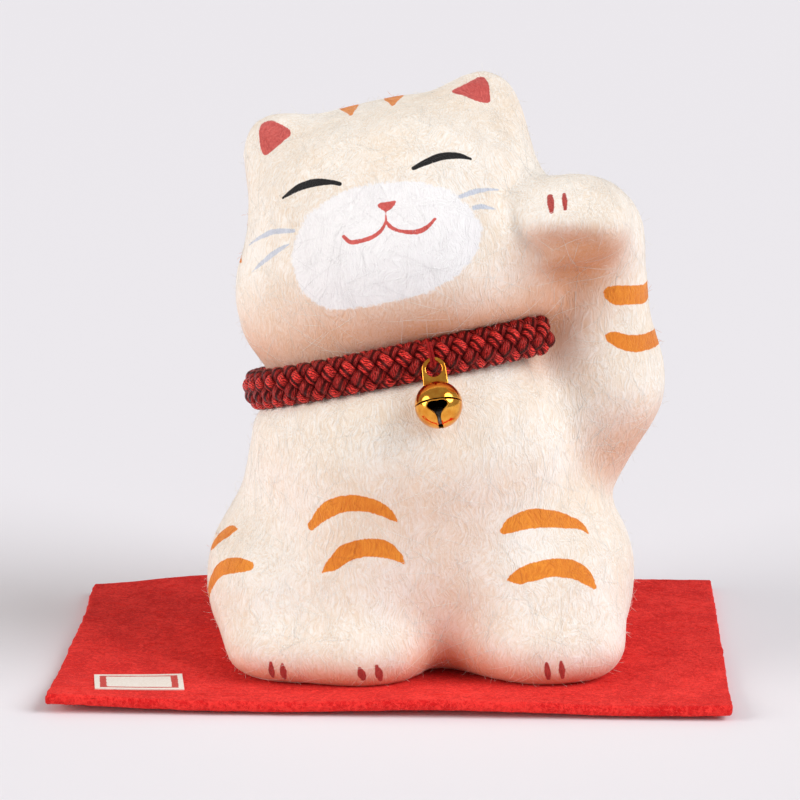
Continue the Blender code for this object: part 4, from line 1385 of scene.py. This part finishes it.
def eye_outline():
    """Outline of the eye from one foot over the arch to the other, across and up."""
    arch = [math.pi * step / EYE_STEPS for step in range(EYE_STEPS + 1)]
    run = [(EYE_HALF_WIDTH * math.cos(a), EYE_MIDDLE + EYE_HALF_WIDTH * math.sin(a)) for a in arch]
    flare = [(EYE_FOOT_HALF_WIDTH, EYE_FOOT)]
    flare += [(EYE_HALF_WIDTH * EYE_FLARE_SHARE, EYE_FOOT + EYE_FLARE_HEIGHT)]
    return flare + run + [(-x, z) for x, z in flare[::-1]]


def pierced_eye():
    """A flat lug with rounded edges and a round hole."""
    shape = prism(eye_outline(), -EYE_HALF_THICKNESS, EYE_HALF_THICKNESS)
    eye = from_bmesh("bell_eye", shape)
    drill = bmesh.new()
    bmesh.ops.create_cone(
        drill,
        cap_ends=True,
        segments=DRILL_SEGMENTS,
        radius1=EYE_HOLE,
        radius2=EYE_HOLE,
        depth=4 * EYE_HALF_THICKNESS,
        matrix=Matrix.Translation((0, 0, EYE_MIDDLE)) @ Matrix.Rotation(math.pi / 2, 4, "X"),
    )
    cut_away(eye, from_bmesh("eye_drill", drill))
    rounding = eye.modifiers.new("rounding", "BEVEL")
    rounding.width = EYE_ROUNDING
    rounding.segments = 3
    rounding.limit_method = "ANGLE"
    rounding.angle_limit = ROUNDED_EDGE
    baked(eye)
    eye.data.shade_smooth()
    eye.data.set_sharp_from_angle(angle=SHARP_EDGE)
    return eye


def brass_finish():
    finish, tree, shader, place = new_material("lacquered_brass")
    cloud = mottle(tree, place, BRASS_CLOUD, 3.0)
    speck = mottle(tree, place, BRASS_SPECK, 3.0, 0.7)
    look = mixed(tree, ramp(tree, cloud, 0.3, 0.7), BRASS_DEEP, BRASS_LIT)
    dulled = maths(tree, "MULTIPLY", ramp(tree, speck, 0.56, 0.74), 0.3)
    look = mixed(tree, dulled, look, BRASS_TARNISH)
    inside = attribute(tree, "inside")
    rough = maths(tree, "MULTIPLY_ADD", cloud, 0.1, 0.08)
    rough = maths(tree, "MULTIPLY_ADD", inside, 0.5, rough)
    values = {"Vector": place, "Rotation": (0.4, 0.9, 0.2), "Scale": (1.0, 1.0, 0.06)}
    rubbed = result(tree, "ShaderNodeMapping", values)
    scratch = mottle(tree, rubbed, BRASS_SCRATCH)
    looks = {
        # Painted shade inside the cups
        "Base Color": mixed(tree, inside, look, BRASS_INSIDE_SHADE),
        "Metallic": 1.0,
        "Roughness": maths(tree, "MULTIPLY_ADD", dulled, 0.3, rough),
        "Normal": bumped(tree, maths(tree, "ADD", scratch, speck), BRASS_RELIEF),
    }
    fill(tree, shader, looks)
    return finish


lacquered_brass = brass_finish()
bell_place = Matrix.LocRotScale(BELL_MIDDLE, BELL_TURN, None)
upper_cup = from_bmesh("bell_upper_cup", turned_solid(cup_profile(1), BELL_SEGMENTS))
lower_cup = from_bmesh("bell_lower_cup", turned_solid(cup_profile(-1), BELL_SEGMENTS))
cut_away(
    lower_cup,
    from_bmesh("mouth_punch", prism(mouth_outline(), *MOUTH_PUNCH)),
    from_bmesh("slot_punch", prism(slot_outline(), *SLOT_PUNCH)),
)
lower_shape = as_bmesh(lower_cup.data)
mouth_bead(lower_shape)
put_back(lower_shape, lower_cup.data)
eye = pierced_eye()
for cup in (upper_cup, lower_cup):
    round_normals(cup.data)
    reach = np.linalg.norm(vertex_table(cup.data), axis=1)
    set_attribute(cup.data, "inside", reach < BELL_RADIUS - INSIDE_SHARE * BELL_WALL)
for piece, node in (
    (upper_cup, "bell_upper_shell"),
    (lower_cup, "bell_lower_shell"),
    (eye, "bell_loop"),
):
    piece.data.transform(bell_place)
    dress(piece, lacquered_brass)
    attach(piece, "bell")
    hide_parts(node)


# Pellet.
# A loose ball of plain steel, put in before the bell's cups are closed on each other. It rattles about and
# shows only through the mouth.

STEEL_PALE = colour(150, 148, 146)
STEEL_DARK = colour(96, 84, 76)
STEEL_SPOT = 0.4 * MM
STEEL_RELIEF = 0.01 * MM


def steel_finish():
    finish, tree, shader, place = new_material("dull_steel")
    spot = mottle(tree, place, STEEL_SPOT, 4.0, 0.65)
    looks = {
        "Base Color": mixed(tree, ramp(tree, spot, 0.35, 0.7), STEEL_PALE, STEEL_DARK),
        "Metallic": 1.0,
        "Roughness": maths(tree, "MULTIPLY_ADD", spot, 0.4, 0.2),
        "Normal": bumped(tree, spot, STEEL_RELIEF),
    }
    fill(tree, shader, looks)
    return finish


dress(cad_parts["bell_pellet"], steel_finish())


# Felt mat.
# A rectangle of red pressed felt, cut with scissors. It lies flat under the cat's weight and curls up a
# little at its front and left edges.

MAT_FACET = 1.0 * MM
MAT_FRAY = 0.22 * MM
MAT_FRAY_SIZE = 2.2 * MM
# Levels up the cut edge as shares of the thickness, each with how far it is drawn in
EDGE_LEVELS = ((0.0, 0.35 * MM), (0.18, 0.06 * MM), (0.5, 0.0), (0.82, 0.06 * MM), (1.0, 0.35 * MM))
CORNER_DRAW = 8.5 * MM
WAIST_DRAW = 0.8 * MM
RUFFLE = 0.12 * MM
RUFFLE_SIZE = 5 * MM
FELT_LIT = colour(254, 58, 53)
FELT_DEEP = colour(212, 21, 25)
FELT_SHEEN = colour(255, 110, 100)
FELT_CLOUD = 7 * MM
FELT_FLUFF = 0.8 * MM
# Spacing of the strands that show in the felt, and their width as a share of it
FELT_STRANDS = ((2.4 * MM, 0.02), (1.3 * MM, 0.03))
FELT_RELIEF = 0.26 * MM


def rise(value, low, high):
    """Rises smoothly from 0 at the first value to 1 at the second."""
    share = np.clip((value - low) / (high - low), 0, 1)
    return share * share * (3 - 2 * share)


def mat_lift(across, back):
    """How high the mat's underside stands off the table, at a place in mm from its middle."""
    front = rise(-back, 22, 44) * (1.15 + 0.35 * np.sin(across * 0.085 + 0.6))
    left = rise(-across, 44, 65) * (0.8 * np.exp(-(((back - 4) / 15) ** 2)) + 0.3)
    right = 0.5 * rise(across, 50, 65) * np.exp(-(((back + 10) / 20) ** 2))
    return (front + left + right) * MM


def felt_place(x, y):
    """Where a point of the flat mat comes to lie, and how high its underside stands there.

    The rear left corner is drawn forward, and the left edge is drawn in at its middle.
    """
    corner = rise(-x / MM, 40, 66) * rise(y / MM, 15, 43.5)
    waist = rise(-x / MM, 45, 65) * math.exp(-(((y / MM - 8) / 20) ** 2))
    x += WAIST_DRAW * waist
    y -= CORNER_DRAW * corner
    ruffle = RUFFLE * noise.noise(Vector((x, y, 3)) / RUFFLE_SIZE) * rise(-y / MM, 30, 43)
    return x, y, mat_lift(x / MM, y / MM) + max(ruffle, 0)


def closed_plate(name, shape, layers, columns, rows):
    """A piece from grids of vertices, lowest first: its underside, its top and a rim through all of them."""
    for column in range(columns):
        for row in range(rows):
            ring = ((column, row), (column + 1, row), (column + 1, row + 1), (column, row + 1))
            shape.faces.new([layers[-1][spot] for spot in ring])
            shape.faces.new([layers[0][spot] for spot in ring[::-1]])
    rim = [(column, 0) for column in range(columns)] + [(columns, row) for row in range(rows)]
    rim += [(columns - column, rows - row) for column, row in rim]
    for lower, upper in zip(layers, layers[1:]):
        for spot, after in zip(rim, rim[1:] + rim[:1]):
            shape.faces.new((lower[spot], lower[after], upper[after], upper[spot]))
    bmesh.ops.recalc_face_normals(shape, faces=shape.faces)
    plate = from_bmesh(name, shape)
    plate.data.shade_smooth()
    return plate


def felt_slab():
    """The mat as a closed slab on a fine grid, with soft edges."""
    low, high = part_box("display_mat")
    columns = round((high.x - low.x) / MAT_FACET)
    rows = round((high.y - low.y) / MAT_FACET)
    shape = bmesh.new()
    layers = []
    for level, inset in EDGE_LEVELS:
        layer = {}
        for column in range(columns + 1):
            for row in range(rows + 1):
                rim = column in (0, columns) or row in (0, rows)
                if not rim and level not in (0.0, 1.0):
                    continue
                x = low.x + (high.x - low.x) * column / columns
                y = low.y + (high.y - low.y) * row / rows
                if rim:
                    fray = inset + MAT_FRAY * (0.5 + noise.noise(Vector((x, y, 0)) / MAT_FRAY_SIZE))
                    x -= fray * ((column == columns) - (column == 0))
                    y -= fray * ((row == rows) - (row == 0))
                x, y, stand = felt_place(x, y)
                z = low.z + stand + level * (high.z - low.z)
                layer[column, row] = shape.verts.new((x, y, z))
        layers.append(layer)
    return closed_plate("felt_mat", shape, layers, columns, rows)


def felt_finish():
    finish, tree, shader, place = new_material("red_felt")
    cloud = mottle(tree, place, FELT_CLOUD, 3.0)
    fluff = mottle(tree, place, FELT_FLUFF, 4.0, 0.8)
    strand = None
    for size, width in FELT_STRANDS:
        shifted = vectors(tree, "ADD", place, (size * 3, size * 8, size * 5))
        line = mottle(tree, shifted, size, 1.0)
        off = maths(tree, "ABSOLUTE", maths(tree, "SUBTRACT", line, 0.5))
        drawn = ramp(tree, off, width, 0.2 * width)
        strand = drawn if strand is None else maths(tree, "MAXIMUM", strand, drawn)
    tone = maths(tree, "MULTIPLY_ADD", cloud, 0.3, maths(tree, "MULTIPLY", fluff, 0.7))
    tone = maths(tree, "MULTIPLY_ADD", strand, 0.12, tone)
    tone = maths(tree, "MULTIPLY_ADD", attribute(tree, "loose_fibre"), 0.15, tone)
    looks = {
        "Base Color": mixed(tree, ramp(tree, tone, 0.42, 0.62), FELT_DEEP, FELT_LIT),
        "Roughness": 0.96,
        "Specular IOR Level": 0.15,
        "Sheen Weight": 0.3,
        "Sheen Roughness": 0.6,
        "Sheen Tint": FELT_SHEEN,
        "Normal": bumped(tree, maths(tree, "MULTIPLY_ADD", strand, 0.3, fluff), FELT_RELIEF),
    }
    fill(tree, shader, looks)
    return finish


FELT_FIBRES = {
    "Density": 180000.0,
    "Seed": 21,
    "Shortest": 1.2 * MM,
    "Longest": 4.0 * MM,
    "Thickness": 0.06 * MM,
    "Start": -0.5,
    "Tilt": 0.0,
    "Bend": 2.4 * MM,
    "Bend Size": 2.0 * MM,
    "Held": 0.93,
    "Lift": 0.06 * MM,
}
FLUFF_POINTS = 6
mat = felt_slab()
red_felt = felt_finish()
dress(mat, red_felt)
felt_fibres = fibre_tree("Felt fibres", (), FLUFF_POINTS)
fluff = grown("felt_fluff", mat.data, felt_fibres, {**FELT_FIBRES, "Material": red_felt})
for piece in (mat, fluff):
    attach(piece, "cat")
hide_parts("display_mat")


# Label.
# A small slip of white paper with a printed red border, cut out and glued on the mat's front left corner.
# It is thin enough to follow the felt.

LABEL_WIDTH = 17.0
LABEL_DEPTH = 11.6
LABEL_MIDDLE = (-48.3, -31.8)
LABEL_TURN = math.radians(7.5)
LABEL_THICKNESS = 0.2 * MM
GLUE = 0.04 * MM
LABEL_COLUMNS = 68
LABEL_ROWS = 44
BORDER_OUTSIDE = (7.5, 4.75)
BORDER_INSIDE = (6.2, 4.1)
SLIP_PALE = colour(248, 243, 236)
SLIP_DARK = colour(232, 222, 210)
SLIP_GRAIN = 0.35 * MM
SLIP_RELIEF = 0.03 * MM
INK_PALE = colour(216, 84, 76)
INK_DEEP = colour(192, 52, 48)


def label_slip():
    """The slip as a thin plate laid on the mat. It keeps how far each point lies off the border, in mm."""
    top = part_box("display_mat")[1].z
    cosine = math.cos(LABEL_TURN)
    sine = math.sin(LABEL_TURN)
    turn = np.array(((cosine, -sine), (sine, cosine)))
    shape = bmesh.new()
    layers = []
    for height in (GLUE, GLUE + LABEL_THICKNESS):
        layer = {}
        for column in range(LABEL_COLUMNS + 1):
            for row in range(LABEL_ROWS + 1):
                across = (column / LABEL_COLUMNS - 0.5) * LABEL_WIDTH
                back = (row / LABEL_ROWS - 0.5) * LABEL_DEPTH
                x, y = turn @ (across, back) + LABEL_MIDDLE
                layer[column, row] = shape.verts.new((x * MM, y * MM, top + mat_lift(x, y) + height))
        layers.append(layer)
    label = closed_plate("label_slip", shape, layers, LABEL_COLUMNS, LABEL_ROWS)
    places = (vertex_table(label.data)[:, :2] / MM - LABEL_MIDDLE) @ turn
    outside = np.max(np.abs(places) - BORDER_OUTSIDE, axis=1)
    inside = np.max(np.abs(places) - BORDER_INSIDE, axis=1)
    set_attribute(label.data, "off_border", np.maximum(outside, -inside))
    label.data.set_sharp_from_angle(angle=SHARP_EDGE)
    return label


def label_finish(brush):
    finish, tree, shader, place = new_material("label_paper")
    grain = mottle(tree, place, SLIP_GRAIN, 4.0, 0.7)
    look = mixed(tree, ramp(tree, grain, 0.3, 0.7), SLIP_DARK, SLIP_PALE)
    off = attribute(tree, "off_border")
    inked = in_group(tree, brush, Vector=place, Distance=off, Creep=0.3, Softness=0.08)["Cover"]
    ink = mixed(tree, ramp(tree, grain, 0.35, 0.65), INK_DEEP, INK_PALE)
    look = mixed(tree, inked, look, ink)
    fill(tree, shader, {"Base Color": look, "Roughness": 0.75, "Normal": bumped(tree, grain, SLIP_RELIEF)})
    return finish


label = label_slip()
dress(label, label_finish(bpy.data.node_groups["Brushed paint"]))
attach(label, "cat")
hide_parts("mat_label")


# Stage.
# A pale floor that keeps the object's shadow, soft light from a window on each side, and a camera at the
# photograph's angle.

CAMERA_AT = Vector((25.8, -699.7, 223.9)) * MM
CAMERA_PITCH = math.radians(13.86)
CAMERA_YAW = math.radians(-2.05)
CAMERA_LENS = 164.8
FLOOR_HALF = 4.0
FLOOR_COLOUR = colour(238, 235, 240)
SKY_COLOUR = (1.0, 0.985, 0.97, 1.0)
SKY_STRENGTH = 0.36
# Each window's strength, its tint and the way its light goes
WINDOWS = (
    ("right_window", 2.3, (0.96, 0.98, 1.0), (-0.8, 0.28, -0.66)),
    ("left_window", 1.85, (1.0, 0.97, 0.93), (0.85, 0.3, -0.32)),
)
WINDOW_SPREAD = math.radians(40)

camera = bpy.data.objects.new("camera", bpy.data.cameras.new("camera"))
bpy.context.scene.collection.objects.link(camera)
camera.data.lens = CAMERA_LENS
camera.location = CAMERA_AT
camera.rotation_euler = (math.pi / 2 - CAMERA_PITCH, 0, -CAMERA_YAW)
bpy.context.scene.camera = camera

floor_shape = bmesh.new()
bmesh.ops.create_grid(floor_shape, x_segments=1, y_segments=1, size=FLOOR_HALF)
floor = from_bmesh("floor", floor_shape)
floor_finish, floor_tree, floor_shader, _ = new_material("pale_floor")
fill(floor_tree, floor_shader, {"Base Color": FLOOR_COLOUR, "Roughness": 0.9})
dress(floor, floor_finish)

world = bpy.data.worlds.new("studio")
bpy.context.scene.world = world
world.use_nodes = True
background = world.node_tree.nodes["Background"]
fill(world.node_tree, background, {"Color": SKY_COLOUR, "Strength": SKY_STRENGTH})

for name, strength, tint, towards in WINDOWS:
    lamp = bpy.data.objects.new(name, bpy.data.lights.new(name, "SUN"))
    bpy.context.scene.collection.objects.link(lamp)
    lamp.data.energy = strength
    lamp.data.angle = WINDOW_SPREAD
    lamp.data.color = tint
    lamp.rotation_euler = Vector(towards).to_track_quat("-Z", "Y").to_euler()

bpy.context.scene.view_settings.view_transform = "Standard"
